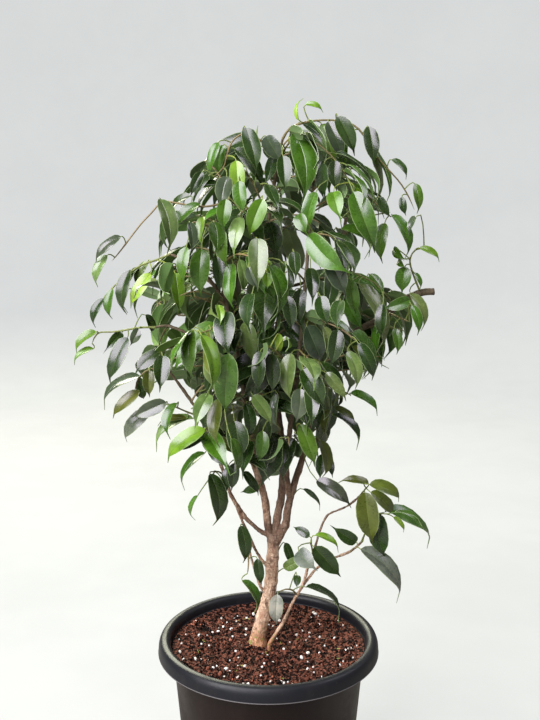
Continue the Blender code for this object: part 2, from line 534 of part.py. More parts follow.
def build_mix(collection, cutters, stems):
    """Potting mix that fills the pot, with a gently uneven top and plain holes for the stems."""
    floor = POT_FLOOR + GAP
    inset = POT_WALL + GAP / math.cos(math.pi / POT_SEGMENTS)
    rim = wall_radius(MIX_LEVEL) - inset
    profile = [(rim * ring / MIX_RINGS, MIX_LEVEL) for ring in range(MIX_RINGS + 1)]
    profile += [(wall_radius(floor) - inset, floor), (0.0, floor)]
    material = plain_material("potting_mix", (0.060, 0.028, 0.018), 0.95)
    mix = solid_from(turned("mix_turned", profile, collection, None), "potting_mix", collection, material)
    for vert in mix.data.vertices:
        reach = math.hypot(vert.co.x, vert.co.y)
        if vert.co.z > MIX_LEVEL - 0.1 * MM and reach < rim - 1.0 * MM:
            x, y = vert.co.x / MM, vert.co.y / MM
            vert.co.z += MIX_RELIEF * (math.sin(0.13 * x + 0.4) * math.sin(0.11 * y)
                                       + 0.6 * math.sin(0.31 * x - 0.27 * y + 1.0))
    for centre, radius in stems:
        mesh = bpy.data.meshes.new("stem_hole_cutter")
        form = bmesh.new()
        low = BURIED_END - HOLE_DEPTH
        high = MIX_LEVEL + 20 * MM
        place = Matrix.Translation((centre.x, centre.y, (low + high) / 2))
        bmesh.ops.create_cone(form, cap_ends=True, segments=16, radius1=radius, radius2=radius,
                              depth=high - low, matrix=place)
        form.to_mesh(mesh)
        form.free()
        hide_cutter(new_object("stem_hole_cutter", mesh, cutters))
    cut = mix.modifiers.new("stem_holes", "BOOLEAN")
    cut.operand_type = "COLLECTION"
    cut.collection = cutters
    return mix


def rooted_path(route):
    """Path of a stem through its route, straight down into the mix at its foot."""
    path = [sighted(*point) for point in route]
    return [Vector((path[0].x, path[0].y, BURIED_END))] + path


def build_wood(collection, workshop):
    """Trunk with its limbs, and the thin side stem, each one solid."""
    bark = plain_material("bark", (0.30, 0.19, 0.13), 0.75)
    first, last, resolution, route = TRUNK
    path = rooted_path(route)
    trunk = tube("trunk", path, tapered(first * MM, last * MM, path), resolution, collection)
    for first, last, resolution, route in LIMBS:
        path = thinned(smooth_path([sighted(*point) for point in route], TWIG_STEP), LIMB_SLACK)
        tube("limb", path, tapered(first * MM, last * MM, path), resolution, workshop)
    wood = fused_node("trunk_and_limbs", trunk, workshop, collection, bark)
    green_bark = plain_material("young_bark", (0.42, 0.32, 0.22), 0.7)
    first, last, resolution, route = SIDE_STEM
    path = rooted_path(route)
    stem = tube("stem", path, tapered(first * MM, last * MM, path), resolution, collection)
    first, last, resolution, route = SIDE_STEM_FORK
    path = smooth_path([sighted(*point) for point in route], TWIG_STEP)
    tube("fork", path, tapered(first * MM, last * MM, path), resolution, workshop)
    side_stem = fused_node("side_stem", stem, workshop, collection, green_bark)
    return wood, side_stem


class Clearance:
    """Solids that stand already, which a new twig or leaf must not touch."""

    def __init__(self):
        self.items = []

    @staticmethod
    def bounds(points):
        low = [min(point[axis] for point in points) for axis in range(3)]
        high = [max(point[axis] for point in points) for axis in range(3)]
        return low, high

    def add(self, points, faces):
        """Add a solid given by its points and faces."""
        self.items.append((*self.bounds(points), BVHTree.FromPolygons(points, faces)))

    def add_object(self, solid):
        """Add an object's evaluated mesh."""
        evaluated = solid.evaluated_get(bpy.context.evaluated_depsgraph_get())
        mesh = evaluated.to_mesh()
        points = [solid.matrix_world @ vert.co for vert in mesh.vertices]
        self.add(points, [tuple(face.vertices) for face in mesh.polygons])
        evaluated.to_mesh_clear()

    def is_free(self, points, faces):
        """Say whether a surface touches nothing that stands already."""
        low, high = self.bounds(points)
        tree = None
        for item_low, item_high, item_tree in self.items:
            if any(low[axis] > item_high[axis] or high[axis] < item_low[axis] for axis in range(3)):
                continue
            if tree is None:
                tree = BVHTree.FromPolygons(points, faces)
            if tree.overlap(item_tree):
                return False
        return True


def shoot_path(number, route, variant):
    """Centre line of a twig, from the middle of the wood that carries it."""
    draw = random.Random(f"route {number} {variant}")
    points = [sighted(*route[0])]
    for point in route[1:]:
        shift = Vector((draw.uniform(-1, 1), draw.uniform(-1, 1), draw.uniform(-1, 1)))
        points.append(sighted(*point) + shift * min(variant, ROUTE_SHIFT) * MM)
    return points[:1] + thinned(smooth_path(points, TWIG_STEP)[1:], TWIG_SLACK)


def seated_path(path, wood_tree):
    """The twig's path from its seat a small gap off the bark, or None where there is no seat."""
    outside = path[1]
    hit, normal, _, _ = wood_tree.ray_cast(outside, (path[0] - outside).normalized())
    if hit is None:
        return None
    if normal.dot(outside - hit) < 0:
        normal = -normal
    collar = hit + normal * TWIG_COLLAR
    if (outside - collar).length < 2.0 * MM:
        return None
    return [hit + normal * (GAP + 0.02 * MM), collar] + path[1:]


def twig_radii(path):
    """Radii of a twig at the points of its path."""
    return tapered(TWIG_BASE_RADIUS, TWIG_END_RADIUS, path)


def sleeve(path, radii, grow):
    """Points and faces of a six-sided open sleeve round a path, for clearance only."""
    points, faces = [], []
    for index, (place, radius) in enumerate(zip(path, radii)):
        ahead = path[min(index + 1, len(path) - 1)] - path[max(index - 1, 0)]
        turn = ahead.to_track_quat("Z", "X")
        for side in range(6):
            angle = math.tau * side / 6
            offset = Vector((math.cos(angle), math.sin(angle), 0.0)) * (radius + grow) * 1.1
            points.append(place + turn @ offset)
    for index in range(len(path) - 1):
        for side in range(6):
            here, there = index * 6 + side, index * 6 + (side + 1) % 6
            faces.append((here, there, there + 6, here + 6))
    return points, faces


def place_twig(number, route, wood_tree, standing):
    """First clear variant of a twig: its centre line and its seated path."""
    for variant in range(ROUTE_VARIANTS):
        path = shoot_path(number, route, variant)
        seated = seated_path(path, wood_tree)
        if seated is None:
            continue
        if standing.is_free(*sleeve(seated[1:], twig_radii(seated)[1:], 2 * GAP)):
            return path, seated
    raise ValueError(f"no clear way for the twig of shoot {number}")


def point_on(path, share):
    """Point and direction at a share of a path's length."""
    lengths = [(end - start).length for start, end in zip(path, path[1:])]
    left = share * sum(lengths)
    for start, end, length in zip(path, path[1:], lengths):
        if left <= length:
            return start.lerp(end, left / length), (end - start).normalized()
        left -= length
    return path[-1].copy(), (path[-1] - path[-2]).normalized()


def path_length(path):
    """Length of a path."""
    return sum((end - start).length for start, end in zip(path, path[1:]))


def first_share(path):
    """Share of a twig's path from which it carries leaves, past its seat on the wood."""
    return ((path[1] - path[0]).length + 0.5 * MM) / path_length(path)


def nearest_share(path, across, up):
    """Share of a path's length whose reading is nearest to (across, up), the outer end preferred."""
    best = None
    low = first_share(path)
    for step in range(SHARE_STEPS + 1):
        share = low + (LAST_SHARE - low) * step / SHARE_STEPS
        seen = reading(point_on(path, share)[0])
        cost = math.hypot(seen[0] - across, seen[1] - up) + OUTER_END_PULL * (1.0 - share)
        if best is None or cost < best[0]:
            best = (cost, share)
    return best[1]


def free_share(share, taken, path):
    """Share moved off the roots of the leaves that are taken, a little at a time."""
    spacing = ROOT_SPACING / path_length(path)
    low = first_share(path)
    for step in range(40):
        trial = share + spacing * 0.5 * ((step + 1) // 2) * (-1 if step % 2 else 1)
        if low <= trial <= LAST_SHARE and all(abs(trial - other) >= spacing for other in taken):
            return trial
    return share


class Leaf:
    """A stalk and blade, from a root on a twig through the blade's base to its tip."""

    def __init__(self, root, base, tip, facing, width, bow):
        self.root, self.base, self.tip = root, base, tip
        self.width, self.bow = width, bow
        self.length = (tip - base).length
        self.along = (tip - base).normalized()
        self.side = self.along.cross(facing).normalized()
        self.top = self.side.cross(self.along)
        self.stalk = (base - root).normalized()

    def midrib(self, share):
        """Point of the midrib at a share of the blade's length."""
        rise = self.bow * self.length * 4.0 * share * (1.0 - share)
        return self.base.lerp(self.tip, share) + self.top * rise

    def is_sound(self):
        """Say whether the stalk is long enough and the blade doesn't fold back onto it."""
        return (self.base - self.root).length >= STALK_MIN and self.stalk.dot(self.along) > STALK_FOLD_LIMIT

    def rings(self, start, grow):
        """Cross-sections from a point on the stalk to the tip."""
        rings = []
        radius = STALK_RADIUS + grow
        mitre = (self.stalk + self.along).normalized()
        side = (self.side - mitre * self.side.dot(mitre)).normalized()
        top = side.cross(mitre)
        corners = (-side * 0.87 + top * 0.5, side * 0.87 + top * 0.5, -top)
        straighten = mitre.rotation_difference(self.stalk)
        rings.append([start + (straighten @ corner) * radius for corner in corners])
        rings.append([self.base + corner * radius for corner in corners])
        for share, swell in LEAF_STATIONS:
            middle = self.midrib(share)
            half = self.width / 2 * swell + grow
            edge_rise = self.top * self.width / 2 * swell * LEAF_FOLD
            thick = self.top * (LEAF_THICKNESS / 2 + grow)
            rings.append([middle - self.side * half + edge_rise, middle + thick,
                          middle + self.side * half + edge_rise, middle - thick])
        rings.append([self.tip + self.along * grow])
        return rings

    def surface(self, start, grow=0.0, closed=True):
        """Points and triangles of the leaf, alike on its upper and lower face."""
        points, faces, first = [], [], []
        for ring in self.rings(start, grow):
            first.append(len(points))
            points += ring
        stalk, neck, wide, narrow, tip = first
        if closed:
            faces.append((stalk, stalk + 2, stalk + 1))
        for left, right in ((0, 1), (1, 2), (2, 0)):
            faces.append((stalk + left, stalk + right, neck + right))
            faces.append((stalk + left, neck + right, neck + left))
        faces += [(neck, neck + 1, wide + 1), (neck, wide + 1, wide), (neck + 1, wide + 2, wide + 1),
                  (neck, wide, wide + 3), (neck, wide + 3, neck + 2),
                  (neck + 1, neck + 2, wide + 3), (neck + 1, wide + 3, wide + 2)]
        for edge, rib in ((0, 1), (0, 3), (2, 1), (2, 3)):
            near = (wide + edge, wide + rib, narrow + rib)
            far = (wide + edge, narrow + rib, narrow + edge)
            flip = (edge, rib) in ((0, 3), (2, 1))
            faces += [near[::-1], far[::-1]] if flip else [near, far]
        for left in range(4):
            faces.append((narrow + left, narrow + (left + 1) % 4, tip))
        return points, faces


def turned_about(vector, axis, angle):
    """Vector turned about an axis."""
    return Matrix.Rotation(angle, 3, axis) @ vector


def hand_leaf(number, order, variant, row, root):
    """Leaf at its own base and tip readings, with a depth that follows its root."""
    base_across, base_up, tip_across, tip_up, seen_width = row
    draw = random.Random(f"leaf {number} {order} {variant}")
    depth = root.y / MM - HAND_DEPTH
    lean = 0.0
    sway = 0.0
    if variant:
        spread = min(variant, HAND_SPREAD)
        depth += draw.uniform(-HAND_FORWARD - spread, HAND_BACK + 0.4 * spread)
        lean = draw.uniform(-HAND_LEAN, HAND_LEAN) * (1.0 + 0.05 * spread)
        sway = draw.uniform(-HAND_SWAY, HAND_SWAY)
    base = sighted(base_across, base_up, depth)
    short = STALK_MIN - (base - root).length
    if short > -0.5 * MM:
        away = (base - root).normalized() if (base - root).length > 0.5 * MM else Vector((0, -1, 0))
        base += away * (short + 0.6 * MM)
    tip = sighted(tip_across, tip_up, depth + lean)
    along = (tip - base).normalized()
    width = max(seen_width * MM, LEAF_SLIMNESS * (tip - base).length)
    turn = math.acos(min(1.0, seen_width * MM / width))
    view = (EYE - base.lerp(tip, 0.5)).normalized()
    facing = (view - along * view.dot(along)).normalized()
    leaning = [turned_about(facing, along, angle) for angle in (turn, -turn)]
    facing = max(leaning, key=lambda way: way.z)
    bow = HAND_BOW[0] + HAND_BOW[1] * math.sin(turn)
    return Leaf(root, base, tip, turned_about(facing, along, sway), width, bow)


def rule_leaf(number, order, variant, path, share):
    """Leaf that follows the rule: alternate sides, drooping, its face outward and up."""
    draw = random.Random(f"rule {number} {order} {variant}")
    root, heading = point_on(path, share)
    outward = Vector((root.x, root.y, 0.0)).normalized()
    across = heading.cross(Vector((0, 0, 1)))
    across = across.normalized() if across.length > 0.2 else outward.cross(Vector((0, 0, 1)))
    hand = 1 if (order + variant) % 2 else -1
    shake = Vector((draw.uniform(-1, 1), draw.uniform(-1, 1), draw.uniform(-1, 1)))
    stalk = (across * hand * 0.9 + heading * 0.5 + outward * 0.3 + shake * 0.35).normalized()
    base = root + stalk * draw.uniform(*FILL_STALK) * MM
    droop = Vector((0, 0, -1)) * draw.uniform(*FILL_DROOP)
    along = (stalk * 0.7 + outward * 0.35 + droop + heading * 0.25 + shake * 0.3).normalized()
    length = draw.uniform(*FILL_LENGTH) * MM * (FILL_END_SIZE if share > FILL_END_SHARE else 1.0)
    facing = outward * 0.9 + Vector((0, 0, 0.6)) + shake.yzx * 0.5
    width = length * draw.uniform(*FILL_WIDTH)
    return Leaf(root, base, base + along * length, facing, width, draw.uniform(*FILL_BOW))


def inside_outline(across, up):
    """Say whether a reading lies inside the crown's outline."""
    inside = False
    for (ax, az), (bx, bz) in zip(CROWN_OUTLINE, CROWN_OUTLINE[1:] + CROWN_OUTLINE[:1]):
        if (az > up) != (bz > up) and across < ax + (up - az) / (bz - az) * (bx - ax):
            inside = not inside
    return inside


def keeps_outline(leaf):
    """Say whether a leaf placed by rule stays inside the crown and out of its open gaps."""
    for share in (0.0, 0.35, 0.7, 1.0):
        across, up = reading(leaf.midrib(share))
        if not inside_outline(across, up):
            return False
        if any(math.hypot(across - x, up - z) < radius + FILL_GAP_MARGIN for x, z, radius in CROWN_GAPS):
            return False
    return True


class Mosaic:
    """Where leaves stand already, seen from the front or from behind, in cells of equal size."""

    def __init__(self):
        self.cells = set()

    @staticmethod
    def cells_of(leaf):
        """Cells that a leaf's blade covers, with the side of the crown that it is on."""
        cells = []
        for share in (0.15, 0.35, 0.55, 0.75):
            for offset in (-0.28, 0.0, 0.28):
                point = leaf.midrib(share) + leaf.side * leaf.width * offset
                across, up = reading(point)
                cells.append((round(across / MOSAIC_CELL), round(up / MOSAIC_CELL), point.y > REAR_SIDE))
        return cells

    def add(self, leaf):
        """Mark a leaf's cells as covered."""
        self.cells.update(self.cells_of(leaf))

    def covered(self, leaf):
        """Share of a leaf's cells that other leaves cover already."""
        cells = self.cells_of(leaf)
        return sum(cell in self.cells for cell in cells) / len(cells)


def hides_any(leaf, placed):
    """Say whether a leaf stands between the point of view and a leaf that was placed one by one."""
    across, up = reading(leaf.midrib(0.5))
    tree = None
    for other_across, other_up, points in placed:
        if math.hypot(across - other_across, up - other_up) > VIEW_REACH:
            continue
        if tree is None:
            tree = BVHTree.FromPolygons(*leaf.surface(leaf.root, VIEW_MARGIN, closed=False))
        for point in points:
            sight = point - EYE
            if tree.ray_cast(EYE, sight.normalized(), sight.length)[0] is not None:
                return True
    return False


def view_marks(leaf):
    """A leaf's middle reading, and points of its blade that stay in view."""
    across, up = reading(leaf.midrib(0.5))
    points = [leaf.midrib(share) + leaf.side * leaf.width * offset
              for share, offset in ((0.2, 0.0), (0.45, -0.25), (0.45, 0.25), (0.75, 0.0), (0.97, 0.0))]
    return across, up, points


def add_leaf(leaf, standing, workshop, kept):
    """Add a leaf if it touches nothing, and say whether it was added."""
    if not leaf.is_sound():
        return False
    outer = leaf.root + leaf.stalk * STALK_CLEAR
    if not standing.is_free(*leaf.surface(outer, LEAF_CLEARANCE, closed=False)):
        return False
    standing.add(*leaf.surface(outer, closed=False))
    mesh = bpy.data.meshes.new("leaf")
    points, faces = leaf.surface(leaf.root)
    mesh.from_pydata(points, [], faces)
    new_object("leaf", mesh, workshop)
    kept.append(leaf)
    return True


def build_shoots(collection, workshop, wood, side_stem, standing):
    """All leafy shoots, each twig fused with its leaves."""
    shoots = [(wood, *shoot) for shoot in SHOOTS] + [(side_stem, *shoot) for shoot in SIDE_SHOOTS]
    trees = {}
    for carrier in (wood, side_stem):
        points = [vert.co.copy() for vert in carrier.data.vertices]
        faces = [tuple(face.vertices) for face in carrier.data.polygons]
        trees[carrier.name] = BVHTree.FromPolygons(points, faces)
    twigs = []
    for number, (carrier, route, hand, fill) in enumerate(shoots, start=1):
        path, seated = place_twig(number, route, trees[carrier.name], standing)
        standing.add(*sleeve(seated, twig_radii(seated), 0.0))
        leaves_of = bpy.data.collections.new(f"leaves_{number:02d}")
        workshop.children.link(leaves_of)
        twigs.append((number, path, seated, leaves_of, hand, fill, [], []))
    mosaic = Mosaic()
    placed = []
    for number, path, seated, leaves_of, hand, fill, taken, kept in twigs:
        for order, row in enumerate(hand):
            share = free_share(nearest_share(path, row[0], row[1]), taken, path)
            root = point_on(path, share)[0]
            for variant in range(HAND_VARIANTS):
                leaf = hand_leaf(number, order, variant, row, root)
                if add_leaf(leaf, standing, leaves_of, kept):
                    taken.append(share)
                    mosaic.add(leaf)
                    placed.append(view_marks(leaf))
                    break
    for number, path, seated, leaves_of, hand, fill, taken, kept in twigs:
        for order in range(fill):
            low = first_share(path)
            share = free_share(low + (LAST_SHARE - low) * (order + 0.5) / fill, taken, path)
            for variant in range(FILL_VARIANTS):
                leaf = rule_leaf(number, order, variant, path, share)
                if mosaic.covered(leaf) > FILL_OVERLAP + (1.0 - FILL_OVERLAP) * variant / FILL_VARIANTS:
                    continue
                if not keeps_outline(leaf) or hides_any(leaf, placed):
                    continue
                if add_leaf(leaf, standing, leaves_of, kept):
                    taken.append(share)
                    mosaic.add(leaf)
                    break
    for number, path, seated, leaves_of, hand, fill, taken, kept in twigs:
        name = f"leafy_shoot_{number:02d}"
        green = YOUNG_GREEN if number in YOUNG_SHOOTS else LEAF_GREEN
        material = plain_material(f"{name}_green", green, 0.4)
        twig = tube("twig", seated, twig_radii(seated), 0, collection)
        if kept:
            fused_node(name, twig, leaves_of, collection, material)
        else:
            twig.name = name
            twig.data.materials.append(material)
        bpy.data.collections.remove(leaves_of)


def main():
    """Build the potted plant."""
    for old in list(bpy.data.objects):
        bpy.data.objects.remove(old)
    parts = bpy.data.collections.new("potted_weeping_fig")
    drain_cutters = bpy.data.collections.new("drain_cutters")
    hole_cutters = bpy.data.collections.new("stem_hole_cutters")
    workshop = bpy.data.collections.new("workshop")
    for collection in (parts, drain_cutters, hole_cutters, workshop):
        bpy.context.scene.collection.children.link(collection)
    pot = build_pot(parts, drain_cutters)
    feet = []
    for first, _, _, route in (TRUNK, SIDE_STEM):
        feet.append((sighted(*route[0]), (first * MM + GAP) / math.cos(math.pi / 16) + 0.05 * MM))
    mix = build_mix(parts, hole_cutters, feet)
    wood, side_stem = build_wood(parts, workshop)
    standing = Clearance()
    for solid in (pot, mix, wood, side_stem):
        standing.add_object(solid)
    build_shoots(parts, workshop, wood, side_stem, standing)
    bpy.data.collections.remove(workshop)


main()
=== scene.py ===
"""Looks of a potted weeping fig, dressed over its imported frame.

The frame gives every piece its place and size. A turned nursery pot holds a bed of crumbly potting
mix with pale grains. Bark covers the forked stems. Each leafy shoot is laid again leaf by leaf on a
finer twig, with the arched blades that its solid has. Smaller leaves and sprays fill the crown.
"""

import json
import logging
import math
import random
from dataclasses import dataclass, field
from enum import Enum

import bmesh
import bpy
import numpy as np
from mathutils import Matrix, Vector, noise
from mathutils.bvhtree import BVHTree

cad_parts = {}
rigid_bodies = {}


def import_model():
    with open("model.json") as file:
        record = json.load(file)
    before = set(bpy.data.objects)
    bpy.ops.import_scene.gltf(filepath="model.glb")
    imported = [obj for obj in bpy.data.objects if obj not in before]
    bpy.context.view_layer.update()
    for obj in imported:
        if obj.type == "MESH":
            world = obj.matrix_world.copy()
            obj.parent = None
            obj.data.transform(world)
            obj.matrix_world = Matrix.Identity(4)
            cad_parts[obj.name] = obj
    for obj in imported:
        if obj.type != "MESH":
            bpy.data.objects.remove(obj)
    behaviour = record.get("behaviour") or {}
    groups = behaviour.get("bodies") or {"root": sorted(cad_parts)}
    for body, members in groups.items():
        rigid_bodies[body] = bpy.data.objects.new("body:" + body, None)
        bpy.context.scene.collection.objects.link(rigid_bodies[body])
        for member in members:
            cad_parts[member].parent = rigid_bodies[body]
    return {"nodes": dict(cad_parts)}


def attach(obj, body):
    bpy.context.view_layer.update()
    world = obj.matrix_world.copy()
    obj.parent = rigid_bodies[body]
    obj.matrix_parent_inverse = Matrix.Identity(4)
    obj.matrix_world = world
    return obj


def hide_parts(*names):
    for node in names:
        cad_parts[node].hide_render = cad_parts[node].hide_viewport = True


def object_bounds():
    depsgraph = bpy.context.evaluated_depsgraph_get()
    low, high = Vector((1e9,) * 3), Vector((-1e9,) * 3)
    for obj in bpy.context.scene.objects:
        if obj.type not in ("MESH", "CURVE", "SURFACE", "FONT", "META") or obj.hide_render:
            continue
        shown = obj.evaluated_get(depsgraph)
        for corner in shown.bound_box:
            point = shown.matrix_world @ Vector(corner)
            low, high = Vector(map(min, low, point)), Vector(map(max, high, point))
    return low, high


for default_object in list(bpy.data.objects):
    bpy.data.objects.remove(default_object)
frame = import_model()
CAD_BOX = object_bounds()
LOG = logging.getLogger("weeping_fig")

# Short names for types
Pair = tuple[float, float]
Triple = tuple[float, float, float]
Rgb = Triple
Piece = bpy.types.Object
Material = bpy.types.Material
Socket = bpy.types.NodeSocket
Sockets = bpy.types.bpy_prop_collection
Corner = bmesh.types.BMVert

MM = 0.001
UP = Vector((0.0, 0.0, 1.0))

# Point that the across and up readings of the plant are taken from, and its distance to the pot's axis
EYE = Vector((1.4 * MM, -774.0 * MM, 544.0 * MM))
REACH = 774.0 * MM

# Pot and potting mix
POT_HEIGHT = 169.5 * MM
POT_BASE_RADIUS = 73.0 * MM
POT_NECK_RADIUS = 87.0 * MM
POT_NECK_HEIGHT = 156.0 * MM
POT_WALL = 2.0 * MM
POT_FLOOR = 2.4 * MM
MIX_LEVEL = 156.0 * MM
BURIED_END = 118.0 * MM

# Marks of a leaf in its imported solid: the blade's thickness, how far a reading may miss, the stalk's
# length, and two stations along the blade with their width over its full width. Triangles join the
# stations in a rough sheet of a leaf.
SOLID_THICKNESS = 1.3 * MM
THICKNESS_MISS = 0.02 * MM
CENTRE_MISS = 0.05 * MM
NECK_REACH = 0.7 * MM
SHORTEST_TIP = 3.0 * MM
SOLID_STALK = 4.5 * MM
NEAR_STATION = (0.26, 0.96)
FAR_STATION = (0.66, 0.88)
SHEET_FACES = ((0, 2, 1), (0, 3, 2), (1, 2, 5), (1, 5, 4), (2, 3, 6), (2, 6, 5), (4, 5, 7), (5, 6, 7))

# Twigs: radius of a packed twig's end and how far it may miss, how many ways off its route were tried,
# and the widest of them
TWIG_END_RADIUS = 0.8 * MM
TWIG_END_MISS = 0.03 * MM
ROUTE_VARIANTS = 30
ROUTE_SHIFT = 8
YOUNG_SHOOTS = (6, 7, 25, 51)
YOUNG_BARK = (0.22, 0.26, 0.07)
TWIG_TINTS = ((0.25, 0.19, 0.075), (0.19, 0.155, 0.055), (0.29, 0.22, 0.11), (0.16, 0.16, 0.045))
SHOOT_TWIG_RADIUS = 0.88
SPRAY_TWIG_RADIUS = 0.80

# Leaves: how far they fold along the midrib and twist along their length, how far a marked tip may lie
# from its reading in mm, and the shares of length and width where an added leaf may not hide a blade
LEAF_FOLDS = (0.24, 0.62)
LEAF_TWIST = 0.5
TIP_MISS = 4.5
VIEW_MARKS = ((0.12, 0.0), (0.3, -0.25), (0.3, 0.25), (0.5, -0.3), (0.5, 0.3), (0.75, -0.15),
              (0.75, 0.15), (0.97, 0.0))

# Added leaves and sprays: clearance to the crown's gaps in mm, how far they keep inside the box, the
# lowest height of a spray and the first shoot that gets no leaves, one of those below the crown
GAP_MARGIN = 3.0
BOX_MARGIN = 3.0 * MM
SPRAY_LEVEL = 330.0 * MM
FIRST_LOW_SHOOT = 50

# Routes of the woody stems: first and last radius in mm, and points (across, up, depth) in mm
TRUNK_ROUTES = (
    (6.7, 5.5, (
         (-9.8, 164, 13), (-8, 174, 13), (-5, 187, 13), (-1.5, 200, 13), (1.2, 210, 13), (2.6, 222, 13),
         (3.5, 237, 13), (4.2, 250, 13), (5, 264, 13))),
    (3.6, 1.3, (
         (4, 256, 13), (0, 270, 12), (-1.5, 282, 11), (-3, 295, 9), (-6, 308, 7), (-11, 325, 3),
         (-15, 345, -1), (-18, 365, -5), (-20, 385, -8), (-24, 410, -12), (-30, 440, -16),
         (-36, 470, -18), (-40, 500, -16), (-38, 530, -12), (-33, 560, -8))),
    (3.9, 1.3, (
         (5, 256, 13), (8, 280, 16), (11, 295, 18), (12.5, 310, 19), (13, 330, 20), (11, 355, 20),
         (8, 380, 19), (5, 410, 18), (3, 440, 17), (2, 470, 16), (0, 500, 15), (-1, 530, 14),
         (3, 560, 12), (8, 590, 8), (12, 610, 4))),
    (3.7, 1.4, (
         (7, 256, 13), (15, 272, 11), (17, 285, 10), (20, 300, 9), (24, 315, 9), (29, 330, 10),
         (32, 345, 12), (36, 370, 15), (42, 400, 20), (50, 430, 25), (56, 460, 28), (60, 490, 30),
         (63, 520, 30), (66, 545, 28))),
    (2.7, 1.3, (
         (19, 296, 9), (17.5, 308, 4), (16, 322, -3), (17, 340, -10), (20, 370, -20), (24, 400, -28),
         (27, 430, -34), (30, 460, -36), (32, 490, -34), (34, 520, -28), (36, 550, -20), (38, 575, -12))),
    (2.6, 1.3, (
         (13, 326, 20), (12, 342, 30), (8, 370, 48), (4, 400, 62), (0, 440, 72), (-3, 480, 74),
         (-5, 520, 68), (-5, 555, 56))),
    (2.1, 1.3, (
         (2, 262, 13), (-6, 266, 12), (-12, 271, 10), (-20, 279, 6), (-28, 291, 2), (-34, 302, -2),
         (-37, 312, -6), (-42, 328, -12), (-48, 347, -18), (-54, 362, -24), (-64, 380, -28),
         (-76, 398, -30), (-88, 414, -30))),
    (1.5, 1.2, (
         (3, 229, 13), (-3, 236, 11), (-8, 243, 10), (-13, 252, 8), (-18, 265, 6), (-23, 275, 4),
         (-28, 288, 1), (-34, 302, -2))),
    (1.3, 1.1, (
         (-1, 208, 13), (-7, 214, 10), (-12, 229, 8), (-16, 244, 6), (-17, 253, 5))),
    (1.8, 1.2, (
         (-24, 408, -12), (-40, 425, -20), (-60, 440, -24), (-85, 452, -26), (-98, 451, -26))),
    (1.7, 1.2, (
         (-36, 470, -18), (-50, 492, -24), (-66, 506, -28), (-84, 514, -28))),
    (2.5, 3.2, (
         (50, 428, 25), (66, 442, 20), (84, 452, 14), (102, 462, 8), (116, 474, 4), (131, 481, 1),
         (143, 482, 0))),
    (1.7, 1.2, (
         (0, 440, 72), (-25, 450, 85), (-50, 458, 94), (-78, 462, 98))),
    (1.7, 1.2, (
         (-3, 480, 74), (25, 488, 86), (52, 494, 92), (78, 492, 92))),
)
SIDE_STEM_ROUTES = (
    (2.3, 1.3, (
         (0.5, 159, 1), (6, 168, 1), (14, 181, 1), (20, 195, 2), (28, 210, 3), (38, 225, 5), (45, 233, 6),
         (60, 242, 8), (74, 248, 8), (84, 257, 6))),
    (1.6, 1.2, (
         (28, 210, 3), (33, 222, 2), (36, 235, 1), (42, 252, 0), (47, 270, -2), (53, 282, -4),
         (61, 286, -6), (70, 290, -8), (80, 298, -10))),
)

